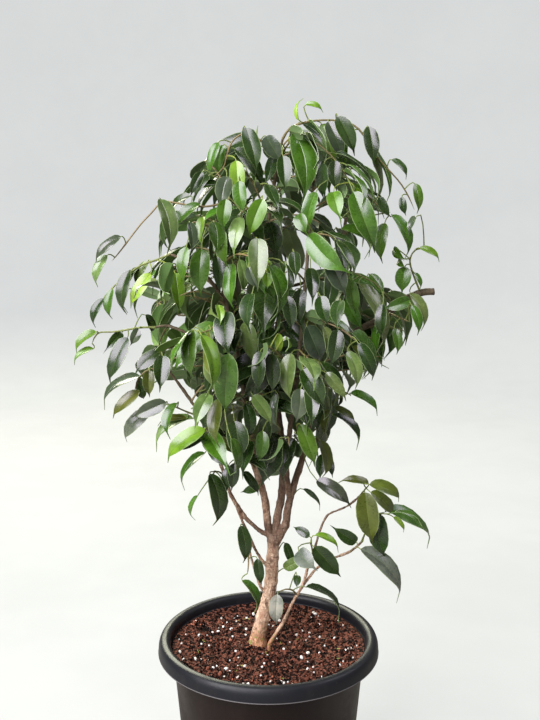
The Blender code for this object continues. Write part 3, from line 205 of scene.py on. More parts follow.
# Twig of each leafy shoot, from the wood that carries it outward
TWIG_ROUTES = (
    ((12, 610, 4), (18, 619, 0), (29, 623, -3), (40, 625, -5), (57, 625, -7), (72, 621, -8), (82, 610, -8),
     (89, 598, -8), (100, 586, -8), (112, 573, -6), (120, 560, -4), (124, 551, -3)),
    ((8, 590, 8), (0, 602, -4), (-10, 611, -10), (-22, 614, -14), (-31, 607, -18), (-35, 596, -22),
     (-38, 586, -24), (-46, 579, -26)),
    ((8, 590, 8), (14, 602, -8), (22, 611, -20), (33, 610, -28), (44, 604, -32), (54, 595, -35),
     (62, 585, -37), (69, 574, -38)),
    ((38, 575, -12), (50, 577, -16), (64, 574, -20), (78, 567, -24), (90, 558, -26), (98, 549, -26),
     (106, 545, -25)),
    ((-33, 560, -8), (-42, 556, -14), (-54, 554, -18), (-66, 555, -20), (-78, 557, -22), (-90, 558, -22),
     (-99, 549, -20), (-107, 541, -18), (-116, 530, -16), (-127, 516, -14), (-134, 508, -12)),
    ((-84, 514, -28), (-96, 509, -29), (-108, 505, -28), (-119, 498, -26), (-130, 489, -24),
     (-140, 479, -22)),
    ((-98, 451, -26), (-110, 451, -28), (-122, 449, -28), (-135, 447, -27), (-148, 446, -26),
     (-153, 437, -25)),
    ((-88, 414, -30), (-98, 415, -32), (-108, 412, -33), (-114, 404, -34), (-117, 395, -34)),
    ((-54, 362, -24), (-62, 372, -30), (-71, 376, -33), (-80, 380, -35), (-89, 384, -36)),
    ((-48, 347, -18), (-55, 350, -28), (-60, 355, -36), (-64, 361, -42)),
    ((-39, 318, -8), (-44, 322, -16), (-50, 322, -24)),
    ((-19, 266, 6), (-21, 270, 1), (-23, 273, -3)),
    ((-17, 253, 5), (-18, 246, -1), (-18, 236, -4), (-19, 227, -6)),
    ((13, 330, 20), (12, 346, 2), (10, 358, -18), (8, 366, -34), (2, 371, -46)),
    ((-11, 325, 3), (-16, 330, -10), (-22, 333, -22), (-29, 334, -32)),
    ((32, 345, 12), (29, 353, -4), (26, 359, -18), (25, 364, -30)),
    ((34, 356, 13), (42, 352, 6), (49, 346, 0), (54, 338, -4)),
    ((-30, 440, -16), (-34, 452, -34), (-38, 460, -48), (-43, 457, -58), (-50, 449, -64), (-60, 446, -68)),
    ((-20, 385, -8), (-24, 390, -26), (-28, 391, -42), (-34, 390, -56), (-42, 389, -66)),
    ((-18, 366, -5), (-16, 374, -22), (-14, 382, -38), (-12, 388, -50)),
    ((24, 400, -28), (20, 412, -42), (14, 422, -52), (6, 430, -60), (-2, 436, -64)),
    ((27, 430, -34), (27, 431, -50), (32, 426, -60), (40, 418, -67), (46, 408, -72)),
    ((30, 460, -36), (36, 458, -50), (46, 456, -60), (58, 452, -66), (68, 446, -70), (76, 439, -72)),
    ((60, 490, 30), (68, 498, 12), (76, 497, -6), (84, 493, -20), (92, 489, -30), (98, 482, -36)),
    ((131, 481, 1), (127, 490, -2), (123, 500, -4), (121, 510, -6), (126, 518, -7), (133, 519, -7)),
    ((102, 462, 8), (105, 463, -6), (108, 462, -18), (114, 459, -26), (122, 456, -30)),
    ((42, 400, 20), (49, 400, 8), (57, 398, -2), (65, 395, -10), (72, 391, -14)),
    ((-40, 500, -16), (-34, 510, -36), (-26, 514, -52), (-16, 512, -64), (-6, 507, -72), (3, 504, -76)),
    ((-1, 530, 14), (-6, 544, -4), (-12, 552, -22), (-18, 552, -38), (-24, 548, -50)),
    ((-38, 530, -12), (-44, 534, -30), (-52, 538, -44), (-60, 541, -54), (-67, 540, -60)),
    ((34, 520, -28), (37, 528, -40), (44, 531, -48), (54, 529, -52), (63, 523, -54)),
    ((32, 490, -34), (26, 497, -48), (20, 500, -58), (14, 498, -66)),
    ((8, 370, 48), (-8, 376, 62), (-26, 380, 74), (-44, 374, 82)),
    ((4, 400, 62), (20, 404, 74), (38, 402, 84), (54, 394, 90)),
    ((-50, 458, 94), (-58, 442, 102), (-68, 424, 106), (-76, 408, 106)),
    ((-78, 462, 98), (-84, 472, 104), (-91, 475, 102), (-97, 468, 96)),
    ((52, 494, 92), (60, 478, 100), (68, 460, 104), (74, 442, 104)),
    ((78, 492, 92), (92, 486, 88), (104, 476, 82), (112, 464, 76)),
    ((-5, 555, 56), (-12, 572, 58), (-22, 586, 58), (-32, 594, 56)),
    ((-5, 520, 68), (12, 534, 72), (32, 546, 74), (50, 556, 72), (66, 558, 68)),
    ((-5, 524, 67), (-22, 534, 74), (-42, 542, 78), (-60, 544, 78)),
    ((2, 470, 16), (-16, 476, 26), (-36, 478, 36), (-58, 474, 44), (-80, 466, 48)),
    ((56, 460, 28), (70, 464, 40), (86, 460, 48), (100, 450, 50)),
    ((-24, 410, -12), (-36, 404, 2), (-52, 404, 12), (-66, 410, 20)),
    ((42, 400, 20), (54, 410, 30), (68, 414, 40), (80, 412, 46)),
    ((3, 560, 12), (14, 572, 22), (27, 583, 30), (40, 590, 34)),
    ((-33, 560, -8), (-38, 574, 2), (-46, 586, 8), (-54, 592, 10)),
    ((0, 500, 15), (2, 496, -4), (6, 490, -20), (8, 482, -34)),
    ((5, 410, 18), (4, 416, 0), (0, 422, -18), (-4, 426, -34)),
    ((80, 298, -10), (84, 303, -13), (87, 307, -16)),
    ((84, 257, 6), (87, 266, 2), (92, 276, -2), (99, 283, -4), (105, 285, -6)),
    ((74, 248, 8), (77, 251, 2), (80, 252, -3)),
    ((40, 246, 0), (39, 252, -5), (38, 256, -10)),
    ((26, 206, 3), (22, 211, -2), (16, 212, -6), (10, 210, -9)),
)

# Outline that added leaves keep inside, and the open gaps in the crown with their radius, in mm
CROWN_OUTLINE = [
    (0, 625), (40, 628), (72, 618), (90, 600), (104, 575), (106, 550), (92, 535), (90, 512), (76, 508),
    (78, 500), (100, 494), (108, 478), (126, 476), (136, 462), (124, 436), (108, 430), (96, 410),
    (80, 402), (66, 386), (56, 372), (52, 350), (46, 332), (26, 326), (8, 318), (-8, 312), (-28, 312),
    (-40, 322), (-56, 345), (-66, 372), (-80, 404), (-92, 396), (-112, 400), (-120, 430), (-104, 440),
    (-100, 455), (-128, 462), (-134, 486), (-118, 510), (-92, 518), (-92, 545), (-70, 566), (-56, 590),
    (-36, 612),
]
CROWN_GAPS = [
    (33, 517, 9), (20, 494, 7), (36, 476, 8), (66, 459, 6), (90, 505, 14), (-78, 527, 8), (-76, 452, 6),
    (-110, 441, 9), (-86, 394, 11), (12, 436, 4), (-14, 368, 7), (18, 368, 5), (-34, 370, 4),
    (-105, 471, 5), (56, 547, 8), (34, 556, 5),
]


def sighted(across: float, up: float, depth: float) -> Vector:
    """Return the point seen at a reading, some way behind the plane through the pot's axis, in mm."""
    on_plane = Vector((across * MM, 0.0, up * MM))
    return EYE + (on_plane - EYE) * (REACH + depth * MM) / REACH


def reading(point: Vector) -> Pair:
    """Return a point's across and up readings, in mm."""
    on_plane = EYE + (point - EYE) * REACH / (point.y - EYE.y)
    return on_plane.x / MM, on_plane.z / MM


def smooth_path(points: list[Vector], step: float) -> list[Vector]:
    """Follow a smooth curve through points.

    Args:
        points: the points that the curve passes.
        step: rough distance between the returned points, in metres.

    Returns:
        Points along the curve, the first and last ones included.
    """
    path = []
    last = len(points) - 1
    for index in range(last):
        start, end = points[index], points[index + 1]
        pull_in = (end - points[max(index - 1, 0)]) / 2
        pull_out = (points[min(index + 2, last)] - start) / 2
        pieces = max(1, round((end - start).length / step))
        for piece in range(pieces):
            t = piece / pieces
            path.append(start * (2 * t**3 - 3 * t**2 + 1) + pull_in * (t**3 - 2 * t**2 + t)
                        + end * (3 * t**2 - 2 * t**3) + pull_out * (t**3 - t**2))
    path.append(points[-1].copy())
    return path


def path_length(path: list[Vector]) -> float:
    """Return the length of a path, in metres."""
    return sum((end - start).length for start, end in zip(path, path[1:]))


def as_rows(points: list[Vector]) -> np.ndarray:
    """Return points as rows."""
    return np.array([tuple(point) for point in points])


def resampled(path: list[Vector], count: int) -> np.ndarray:
    """Return count points at equal distances along a path, as rows."""
    rows = as_rows(path)
    reach = np.concatenate(([0.0], np.cumsum(np.linalg.norm(np.diff(rows, axis=0), axis=1))))
    marks = np.linspace(0.0, reach[-1], count)
    return np.stack([np.interp(marks, reach, rows[:, axis]) for axis in range(3)], axis=1)


def unit_rows(rows: np.ndarray) -> np.ndarray:
    """Return rows scaled to length one."""
    return rows / np.maximum(np.linalg.norm(rows, axis=1, keepdims=True), 1e-12)


def carried_frames(path: np.ndarray) -> tuple[np.ndarray, np.ndarray]:
    """Carry a side and an up direction along a path without twist.

    Args:
        path: points of the path, as rows.

    Returns:
        The side and the up direction at each point, as rows.
    """
    ahead = unit_rows(np.gradient(path, axis=0))
    start = np.array((1.0, 0.0, 0.0)) if abs(ahead[0][0]) < 0.8 else np.array((0.0, 1.0, 0.0))
    sides = []
    for tangent in ahead:
        start = start - tangent * start.dot(tangent)
        start = start / np.linalg.norm(start)
        sides.append(start)
    side = np.array(sides)
    return side, np.cross(ahead, side)


def start_clean() -> None:
    """Leave edit mode and deselect everything, so that operators act on the next shape alone."""
    if bpy.context.object is not None and bpy.context.object.mode != "OBJECT":
        bpy.ops.object.mode_set(mode="OBJECT")
    bpy.ops.object.select_all(action="DESELECT")
    bpy.context.tool_settings.mesh_select_mode = (True, False, False)


def close_outward() -> None:
    """Turn the faces of the shape in edit mode outward and leave edit mode."""
    bpy.ops.mesh.select_all(action="SELECT")
    bpy.ops.mesh.normals_make_consistent(inside=False)
    bpy.ops.object.mode_set(mode="OBJECT")


def select_points(made: Piece, chosen: set[int]) -> None:
    """Select the vertices with the given indices in edit mode.

    Args:
        made: the object in edit mode.
        chosen: indices of its vertices.
    """
    form = bmesh.from_edit_mesh(made.data)
    for vert in form.verts:
        vert.select_set(vert.index in chosen)
    form.select_flush_mode()
    bmesh.update_edit_mesh(made.data)


def apply_modifier(made: Piece, kind: str, **settings: object) -> None:
    """Add a modifier with its settings and apply it.

    Args:
        made: the object it works on.
        kind: Blender's name for the modifier.
        settings: values of the modifier's properties.
    """
    start_clean()
    made.select_set(True)
    bpy.context.view_layer.objects.active = made
    modifier = made.modifiers.new(kind.lower(), kind)
    for key, value in settings.items():
        setattr(modifier, key, value)
    bpy.ops.object.modifier_apply(modifier=modifier.name)


def read_all(items: bpy.types.bpy_prop_collection, title: str, size: int = 1,
             kind: type = float) -> np.ndarray:
    """Read one property of every item of a mesh.

    Args:
        items: the mesh's vertices, edges, corners or faces.
        title: the property's name.
        size: how many numbers it has.
        kind: their type.

    Returns:
        The values, as rows where each has several numbers.
    """
    values = np.empty(len(items) * size, kind)
    items.foreach_get(title, values)
    return values.reshape(-1, size) if size > 1 else values


@dataclass
class Shape:
    """A modelled shape as arrays, ready to be laid many times."""

    points: np.ndarray
    corners: np.ndarray
    starts: np.ndarray

    @classmethod
    def taken_from(cls, made: Piece) -> "Shape":
        """Read the mesh of a modelled object and remove the object.

        Args:
            made: the object, in object mode.

        Returns:
            Its points and faces.
        """
        mesh = made.data
        shape = cls(read_all(mesh.vertices, "co", 3), read_all(mesh.loops, "vertex_index", 1, np.int32),
                    read_all(mesh.polygons, "loop_start", 1, np.int32))
        bpy.data.objects.remove(made)
        return shape


@dataclass
class Gathering:
    """Shapes laid together in one piece, with the marks that its finish reads."""

    copies: list[tuple[np.ndarray, ...]] = field(default_factory=list)
    laid: int = 0
    turned: int = 0

    def lay(self, shape: Shape, places: np.ndarray, slot: int = 0, chart: np.ndarray | None = None,
            tint: Rgb = (1.0, 1.0, 1.0), look: np.ndarray | None = None) -> None:
        """Lay one copy of a shape.

        Args:
            shape: the modelled shape.
            places: where its points lie, as rows.
            slot: material slot of its faces.
            chart: flat map position of each point, as rows.
            tint: colour mark of the copy.
            look: three further marks of each point, as rows.
        """
        count = len(places)
        self.copies.append((
            places, shape.corners + self.laid, shape.starts + self.turned,
            np.full(len(shape.starts), slot, np.int32), np.zeros((count, 2)) if chart is None else chart,
            np.tile(tint, (count, 1)), np.zeros((count, 3)) if look is None else look))
        self.laid += count
        self.turned += len(shape.corners)

    def piece(self, name: str, finishes: list[Material], sharp: float = 60.0) -> Piece:
        """Make one object of all that was laid.

        Args:
            name: the object's name.
            finishes: its materials, in the order of the slots.
            sharp: angle in degrees past which an edge stays sharp.

        Returns:
            The object, at the origin, in the scene.
        """
        places, corners, starts, slots, charts, tints, looks = (
            np.concatenate(rows) for rows in zip(*self.copies))
        mesh = bpy.data.meshes.new(name)
        for items, title, values in ((mesh.vertices, "co", places), (mesh.loops, "vertex_index", corners),
                                     (mesh.polygons, "loop_start", starts)):
            items.add(len(values))
            items.foreach_set(title, values.ravel())
        for finish in finishes:
            mesh.materials.append(finish)
        mesh.polygons.foreach_set("material_index", slots)
        mesh.update(calc_edges=True)
        mesh.uv_layers.new(name="leaf_chart").uv.foreach_set("vector", charts[corners].ravel())
        for title, rows in (("tint", tints), ("look", looks)):
            marks = mesh.attributes.new(title, "FLOAT_COLOR", "POINT")
            marks.data.foreach_set("color", np.pad(rows, ((0, 0), (0, 1)), constant_values=1.0).ravel())
        mesh.shade_smooth()
        mesh.set_sharp_from_angle(angle=math.radians(sharp))
        ends = read_all(mesh.edges, "vertices", 2, np.int32)
        folded = read_all(mesh.edges, "use_edge_sharp", 1, bool) | (looks[ends, 2].min(axis=1) > 0.5)
        mesh.edges.foreach_set("use_edge_sharp", folded)
        made = bpy.data.objects.new(name, mesh)
        bpy.context.scene.collection.objects.link(made)
        return made


@dataclass
class RodPattern:
    """Round rod modelled once, one unit long, ready to be bent along a path."""

    sides: int
    segments: int
    shape: Shape = field(init=False)
    rings: np.ndarray = field(init=False)

    def __post_init__(self) -> None:
        """Model the rod: a filled circle extruded step by step."""
        start_clean()
        bpy.ops.mesh.primitive_circle_add(vertices=self.sides, radius=1.0, fill_type="NGON")
        bpy.ops.object.mode_set(mode="EDIT")
        step = {"value": (0.0, 0.0, 1.0 / self.segments)}
        for _ in range(self.segments):
            bpy.ops.mesh.extrude_region_move(TRANSFORM_OT_translate=step)
        close_outward()
        self.shape = Shape.taken_from(bpy.context.object)
        self.rings = np.rint(self.shape.points[:, 2] * self.segments).astype(int)

    def bent(self, path: list[Vector], radii: np.ndarray) -> np.ndarray:
        """Bend the rod along a path.

        Args:
            path: points of the centre line.
            radii: radius at equal distances along it, one for each ring.

        Returns:
            Places of the rod's points, as rows.
        """
        line = resampled(path, self.segments + 1)
        side, up = carried_frames(line)
        ring, flat = self.rings, self.shape.points
        spread = side[ring] * flat[:, :1] + up[ring] * flat[:, 1:2]
        return line[ring] + spread * radii[ring, None]


class Tone(Enum):
    """How old and how glossy a leaf is: its colour, and how much rougher than a waxy one it is. Two
    colours hold painted light: a backlit glow in the young one and a grey sheen in the greyed dark one.
    """

    DARK = ((0.015, 0.040, 0.005), 0.0)
    MID = ((0.046, 0.125, 0.007), 0.0)
    FRESH = ((0.100, 0.215, 0.010), 0.04)
    # Yellow-green of a young leaf, brightened into a painted backlit glow
    YOUNG = ((0.175, 0.315, 0.022), 0.08)
    OLIVE = ((0.072, 0.092, 0.009), 0.05)
    PALE = ((0.120, 0.190, 0.055), -0.04)
    # Dark green greyed into a painted grey sheen, with a waxier surface
    SILVER = ((0.048, 0.070, 0.042), -0.08)
    GREY = ((0.250, 0.275, 0.235), 0.02)
    DUSTY = ((0.100, 0.112, 0.094), 0.02)


def likely_tone(place: Vector, draw: random.Random) -> Tone:
    """Draw the tone of an unmarked leaf: fresher on the crown's top and right edge, and lighter at the
    left, where these greens paint the crown's lit side.

    Args:
        place: the leaf's tip.
        draw: source of chance.

    Returns:
        The tone.
    """
    across, up = reading(place)
    shares = (78, 12, 1, 3, 6)
    # Lighter greens at the left paint the crown's lit side; those on the top and right edge are fresher
    if across < -45 or up > 575 or (across > 65 and up > 420):
        shares = (42, 37, 9, 4, 8)
    elif across < 15:
        shares = (66, 20, 3, 4, 7)
    return draw.choices((Tone.DARK, Tone.MID, Tone.FRESH, Tone.OLIVE, Tone.PALE), shares)[0]


@dataclass
class LeafPlace:
    """Where and how one leaf hangs."""

    root: Vector
    base: Vector
    tip: Vector
    top: Vector
    width: float
    arch: float
    tone: Tone = Tone.DARK
    chance: float = 0.5
    fold: float = 0.22
    twist: float = 0.0

    def midrib(self, share: float) -> Vector:
        """Return the midrib's point at a share of the blade's length."""
        return self.base.lerp(self.tip, share) + self.top * self.arch * 4.0 * share * (1.0 - share)

    def side(self) -> Vector:
        """Return the direction from the midrib to the blade's right edge."""
        return (self.tip - self.base).cross(self.top).normalized()

    def sheet(self, lift: float) -> list[Vector]:
        """Describe the blade roughly, for clearance and for sight.

        Args:
            lift: distance of the sheet over the blade, in metres.

        Returns:
            Its base, three points at each station and its tip.
        """
        side, half = self.side(), self.width / 2
        rise = self.top * (0.14 * half + lift)
        points = [self.base + self.top * lift]
        for share, swell in (NEAR_STATION, FAR_STATION):
            middle = self.midrib(share)
            points += [middle - side * half * swell + rise, middle + self.top * lift,
                       middle + side * half * swell + rise]
        return [*points, self.tip + self.top * lift]


@dataclass
class BladePattern:
    """Leaf blade modelled once, flat and one unit long, ready to be bent into place.

    Each row of the outline gives its share of the length and its half width over the widest one. The
    sway is a share of the length, and the droop and the wave of the edges are shares of the half width.
    """

    outline: tuple[Pair, ...] = (
        (0.0, 0.05), (0.03, 0.38), (0.10, 0.74), (0.22, 0.95), (0.38, 1.0), (0.53, 0.92), (0.66, 0.70),
        (0.76, 0.40), (0.84, 0.15), (1.0, 0.02))
    columns: int = 4
    slimming: float = 0.86
    half_thickness: float = 0.17 * MM
    twist_start: float = 0.35
    hook_start: float = 0.8
    hook: float = 1.9
    fold_power: float = 1.05
    edge_droop: float = 0.24
    edge_wave: float = 0.07
    waves: float = 1.6
    sway: float = 0.05
    shape: Shape = field(init=False)
    across: np.ndarray = field(init=False)
    face: np.ndarray = field(init=False)

    def __post_init__(self) -> None:
        """Model the blade: a thickened grid whose rows are moved and scaled to the outline."""
        rows = len(self.outline) - 1
        start_clean()
        bpy.ops.mesh.primitive_grid_add(x_subdivisions=self.columns, y_subdivisions=rows, size=2.0)
        blade = bpy.context.object
        apply_modifier(blade, "SOLIDIFY", thickness=2.0, offset=0.0)
        self.across, level, self.face = read_all(blade.data.vertices, "co", 3).T
        row_of = np.rint((level + 1.0) / 2.0 * rows).astype(int)
        bpy.ops.object.mode_set(mode="EDIT")
        for row, (share, swell) in enumerate(self.outline):
            select_points(blade, set(np.flatnonzero(row_of == row).tolist()))
            was = row / rows * 2.0 - 1.0
            bpy.ops.transform.resize(value=(swell, 1.0, 1.0), center_override=(0.0, was, 0.0))
            bpy.ops.transform.translate(value=(0.0, share - was, 0.0))
        close_outward()
        self.shape = Shape.taken_from(blade)

    def bent(self, leaf: LeafPlace) -> np.ndarray:
        """Bend the blade to a leaf's place: arched along its midrib, folded along it and wavy.

        Args:
            leaf: where and how the leaf hangs.

        Returns:
            Places of the blade's points, as rows.
        """
        x, y = self.shape.points[:, :1], self.shape.points[:, 1:2]
        base, top = np.array(leaf.base), np.array(leaf.top)
        line, side = np.array(leaf.tip - leaf.base), np.array(leaf.side())
        length, half = np.linalg.norm(line), leaf.width / 2 * self.slimming
        ahead, turn = line / length, math.tau * leaf.chance
        roll = leaf.twist * (y - self.twist_start)
        across = side * np.cos(roll) + top * np.sin(roll)
        over = top * np.cos(roll) - side * np.sin(roll)
        hook = np.clip(y - self.hook_start, 0.0, None)
        arch = leaf.arch * 4.0 * y * (1.0 - y) - length * (self.hook * hook**2)
        slope = (leaf.arch * 4.0 * (1.0 - 2.0 * y) - length * 2.0 * self.hook * hook) / length
        normal = unit_rows(over - ahead * slope)
        lift = half * (leaf.fold * np.abs(x) ** self.fold_power - self.edge_droop * x**4)
        lift = lift + self.edge_wave * half * np.sin(math.tau * self.waves * y + turn) * x * np.abs(x)
        sway = self.sway * length * math.sin(turn * 3.0) * np.sin(math.pi * y)
        thick = self.half_thickness * self.face[:, None]
        return base + line * y + top * arch + across * (x * half + sway) + normal * (lift + thick)

    def chart(self) -> np.ndarray:
        """Return the flat map of the blade: across and along, each from 0 to 1."""
        return np.stack([(self.across + 1.0) / 2.0, self.shape.points[:, 1]], axis=1)

    def look(self, leaf: LeafPlace) -> np.ndarray:
        """Return the marks of a leaf's points, as rows: underside, roughness and midrib."""
        rough = np.full(len(self.across), 0.5 + leaf.tone.value[1])
        return np.stack([(1.0 - self.face) / 2.0, rough, np.abs(self.across) < 0.01], axis=1)


def rib_pairs(ring: list[Corner], other: list[Corner]) -> list[tuple[Corner, Corner]]:
    """List the pairs, one vertex from each list, that lie a blade's thickness apart."""
    return [(first, second) for first in ring for second in other
            if first is not second and abs((first.co - second.co).length - SOLID_THICKNESS) < THICKNESS_MISS]


def neighbours(vert: Corner) -> list[Corner]:
    """Return the vertices that share an edge with one."""
    return [edge.other_vert(vert) for edge in vert.link_edges]


def leaf_at_tip(tip: Corner) -> LeafPlace | None:
    """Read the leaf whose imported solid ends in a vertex.

    Args:
        tip: a vertex of a leafy shoot's solid.

    Returns:
        The leaf, its root a stalk's length before its base, or None if the vertex isn't a leaf's tip.
    """
    ring = neighbours(tip)
    if len(ring) != 4:
        return None
    for upper, lower in rib_pairs(ring, ring):
        left, right = (vert for vert in ring if vert not in (upper, lower))
        centre = (upper.co + lower.co) / 2
        rib = (upper.co - lower.co).normalized()
        lift = (left.co + right.co) / 2 - centre
        if (lift - rib * lift.dot(rib)).length > CENTRE_MISS or lift.dot(rib) < 0:
            continue
        if (tip.co - centre).length < SHORTEST_TIP:
            continue
        for near_upper, near_lower in rib_pairs(neighbours(upper), neighbours(lower)):
            wide = {near_upper, near_lower}
            if tip in wide or wide & set(ring):
                continue
            wide |= {vert for vert in neighbours(near_upper) if vert in neighbours(near_lower)
                     and vert in neighbours(upper) and vert in neighbours(lower)} - set(ring)
            if len(wide) != 4:
                continue
            neck = sorted({found for vert in wide for found in neighbours(vert)} - wide - set(ring),
                          key=lambda vert: vert.index)
            width = (left.co - right.co).length / FAR_STATION[1]
            near_centre = (near_upper.co + near_lower.co) / 2
            return read_leaf(tip.co, centre, near_centre, rib, width, [vert.co for vert in neck])
    return None


def read_leaf(tip: Vector, far: Vector, near: Vector, top: Vector, width: float,
              neck: list[Vector]) -> LeafPlace:
    """Work out a leaf's base, arch and stalk from marks on its solid.

    Args:
        tip: the blade's tip.
        far: middle of the far station.
        near: middle of the near station.
        top: direction out of the blade's upper face.
        width: the blade's full width.
        neck: points of the ring round the blade's base.

    Returns:
        The leaf, with its root a stalk's length before its base.
    """
    near_share, far_share = NEAR_STATION[0], FAR_STATION[0]
    first = (near - tip * near_share) / (1.0 - near_share)
    second = (far - tip * far_share) / (1.0 - far_share)
    arch = (second - first).dot(top) / (4.0 * (far_share - near_share))
    base = first - top * arch * 4.0 * near_share
    along = (tip - base).normalized()
    stalk = along
    if len(neck) == 3 and all((point - base).length < NECK_REACH for point in neck):
        mitre = (neck[1] - neck[0]).cross(neck[2] - neck[0]).normalized()
        stalk = mitre * 2.0 * mitre.dot(along) - along
    return LeafPlace(base - stalk * SOLID_STALK, base.copy(), tip.copy(), top.copy(), width, arch)


def leaves_of(solid: Piece) -> list[LeafPlace]:
    """Read every leaf of a leafy shoot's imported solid.

    Args:
        solid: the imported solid.

    Returns:
        The leaves, in a fixed order.
    """
    form = bmesh.new()
    form.from_mesh(solid.data)
    bmesh.ops.remove_doubles(form, verts=form.verts, dist=1e-6)
    leaves = [leaf for leaf in map(leaf_at_tip, form.verts) if leaf is not None]
    leaves.sort(key=lambda leaf: (round(leaf.tip.z, 5), round(leaf.tip.x, 5)))
    form.free()
    return leaves


# Readings of the tips of the leaves that differ in tone from an old, dark one
TIP_TONES = {
    Tone.GREY: ((7, 177),),
    Tone.SILVER: ((63, 590), (11, 590), (-40, 552), (-9, 484), (-66, 515), (-121, 371),
                  (-120, 435), (-146, 380), (9, 360), (24, 366), (67, 478), (10, 483), (125, 530),
                  (119, 530), (-149, 507), (47, 420), (73, 290)),
    Tone.DUSTY: ((120, 199), (103, 246), (44, 230), (-127, 349)),
    Tone.PALE: ((-30, 511), (-9, 483), (-101, 342), (-65, 361), (-14, 418), (-48, 395),
                (20, 385), (3, 364), (50, 420), (77, 396), (85, 511), (-23, 480)),
    Tone.YOUNG: ((28, 643), (-42, 452), (-120, 468), (10, 428), (16, 430), (122, 266), (-26, 557)),
    Tone.FRESH: ((46, 632), (62, 542), (-17, 527), (-1, 484), (-77, 462), (-168, 428), (-170, 419),
                 (-91, 331), (38, 327), (42, 326), (64, 248), (147, 508), (-52, 391), (-57, 521)),
    Tone.MID: ((-38, 374), (4, 456), (88, 513), (97, 506), (118, 509), (35, 531), (115, 480), (98, 467),
               (98, 423), (102, 414), (112, 427), (-12, 188), (146, 253), (138, 274), (29, 561),
               (67, 500), (-6, 323)),
    Tone.OLIVE: ((-138, 371), (-98, 365), (122, 440), (-45, 344), (77, 367), (52, 353), (84, 411),
                 (94, 254), (116, 296), (111, 286), (64, 313), (89, 311)),
}

# Small leaves low on the plant: root, base and tip, the way that the face looks, width in mm, tone
LOW_LEAVES = (
    ((8, 228, 12), (14, 232, 15), (32, 246, 15), (0.25, -1.0, 0.4), 13.0, Tone.PALE),
    ((22, 299, 9), (31, 306, 6), (47, 287, 3), (0.9, -0.35, 0.9), 11.0, Tone.DARK),
    ((9, 249, 14), (15, 256, 18), (23, 234, 21), (0.35, -1.0, 0.3), 10.0, Tone.DARK),
)


@dataclass
class Graph:
    """Node tree of a finish or an effect, with short ways to add to it."""

    tree: bpy.types.NodeTree

    def feed(self, socket: Socket, value: object) -> None:
        """Give an input a constant, or link another node's output to it.

        Args:
            socket: the input.
            value: the constant or the output.
        """
        if isinstance(value, Socket):
            self.tree.links.new(value, socket)
        elif isinstance(value, tuple) and len(value) == 3 and len(socket.default_value) == 4:
            socket.default_value = (*value, 1.0)
        else:
            socket.default_value = value

    def add(self, kind: str, values: dict[str | int, object] | None = None,
            **settings: object) -> bpy.types.Node:
        """Add a node.

        Args:
            kind: Blender's name for the node, without its ShaderNode.
            values: constants or outputs for its inputs.
            settings: values of its properties.

        Returns:
            The node.
        """
        made = self.tree.nodes.new("ShaderNode" + kind)
        for key, value in settings.items():
            setattr(made, key, value)
        for key, value in (values or {}).items():
            self.feed(made.inputs[key], value)
        return made

    def maths(self, operation: str, first: object, second: object, clamp: bool = False) -> Socket:
        """Work out one number from two, and keep it between 0 and 1 if it is clamped."""
        return self.add("Math", {0: first, 1: second}, operation=operation, use_clamp=clamp).outputs[0]

    def times(self, first: object, second: object) -> Socket:
        """Multiply two numbers."""
        return self.maths("MULTIPLY", first, second)

    def plus(self, first: object, second: object, clamp: bool = False) -> Socket:
        """Add two numbers, and keep the sum between 0 and 1 if it is clamped."""
        return self.maths("ADD", first, second, clamp)

    def minus(self, first: object, second: object) -> Socket:
        """Subtract the second number from the first."""
        return self.maths("SUBTRACT", first, second)

    def either(self, first: object, second: object) -> Socket:
        """Return the larger of two numbers."""
        return self.maths("MAXIMUM", first, second)

    def step(self, value: object, low: float, high: float, floor: float = 0.0,
             ceiling: float = 1.0) -> Socket:
        """Rise smoothly from floor to ceiling as a value goes from low to high."""
        values = dict(enumerate((value, low, high, floor, ceiling)))
        return self.add("MapRange", values, interpolation_type="SMOOTHSTEP").outputs[0]

    def mix(self, factor: object, first: object, second: object, kind: str = "MIX") -> Socket:
        """Blend a share of the second colour into the first, in one of Blender's ways."""
        values = {0: factor, 6: first, 7: second}
        return self.add("Mix", values, data_type="RGBA", blend_type=kind, clamp_factor=True).outputs[2]

    def toned(self, colour: object, tone: object) -> Socket:
        """Return a colour multiplied by another."""
        return self.mix(1.0, colour, tone, "MULTIPLY")

    def layered(self, colour: object, *layers: tuple[object, object, object]) -> Socket:
        """Lay colours over one another.

        Args:
            colour: the lowest colour.
            layers: mask, strength and colour of each layer over it.

        Returns:
            The colour on top.
        """
        for mask, strength, layer in layers:
            colour = self.mix(self.times(mask, strength), colour, layer)
        return colour

    def noise(self, where: Socket, scale: float, detail: float = 3.0, roughness: float = 0.55,
              distortion: float = 0.0) -> Socket:
        """Return a cloudy value from 0 to 1, about scale clouds to a metre."""
        values = {"Vector": where, "Scale": scale, "Detail": detail, "Roughness": roughness}
        return self.add("TexNoise", {**values, "Distortion": distortion}).outputs["Fac"]

    def cells(self, where: Socket, scale: float) -> Sockets:
        """Return the outputs of a cell pattern, about scale cells to a metre."""
        return self.add("TexVoronoi", {"Vector": where, "Scale": scale}).outputs


def effect_group(name: str, output: str, **numbers: float) -> tuple[Graph, Sockets, Socket]:
    """Start a shader effect that works out one value at a place.

    Args:
        name: the effect's name.
        output: name of the value that it puts out.
        numbers: default of each number that it takes, with spaces in its name written as underscores.

    Returns:
        Its graph, its inputs by name and the socket that takes its value.
    """
    tree = bpy.data.node_groups.new(name, "ShaderNodeTree")
    tree.interface.new_socket("Vector", in_out="INPUT", socket_type="NodeSocketVector")
    for title, default in numbers.items():
        title = title.replace("_", " ")
        made = tree.interface.new_socket(title, in_out="INPUT", socket_type="NodeSocketFloat")
        made.default_value = default
    tree.interface.new_socket(output, in_out="OUTPUT", socket_type="NodeSocketFloat")
    given, result = tree.nodes.new("NodeGroupInput"), tree.nodes.new("NodeGroupOutput")
    return Graph(tree), given.outputs, result.inputs[0]


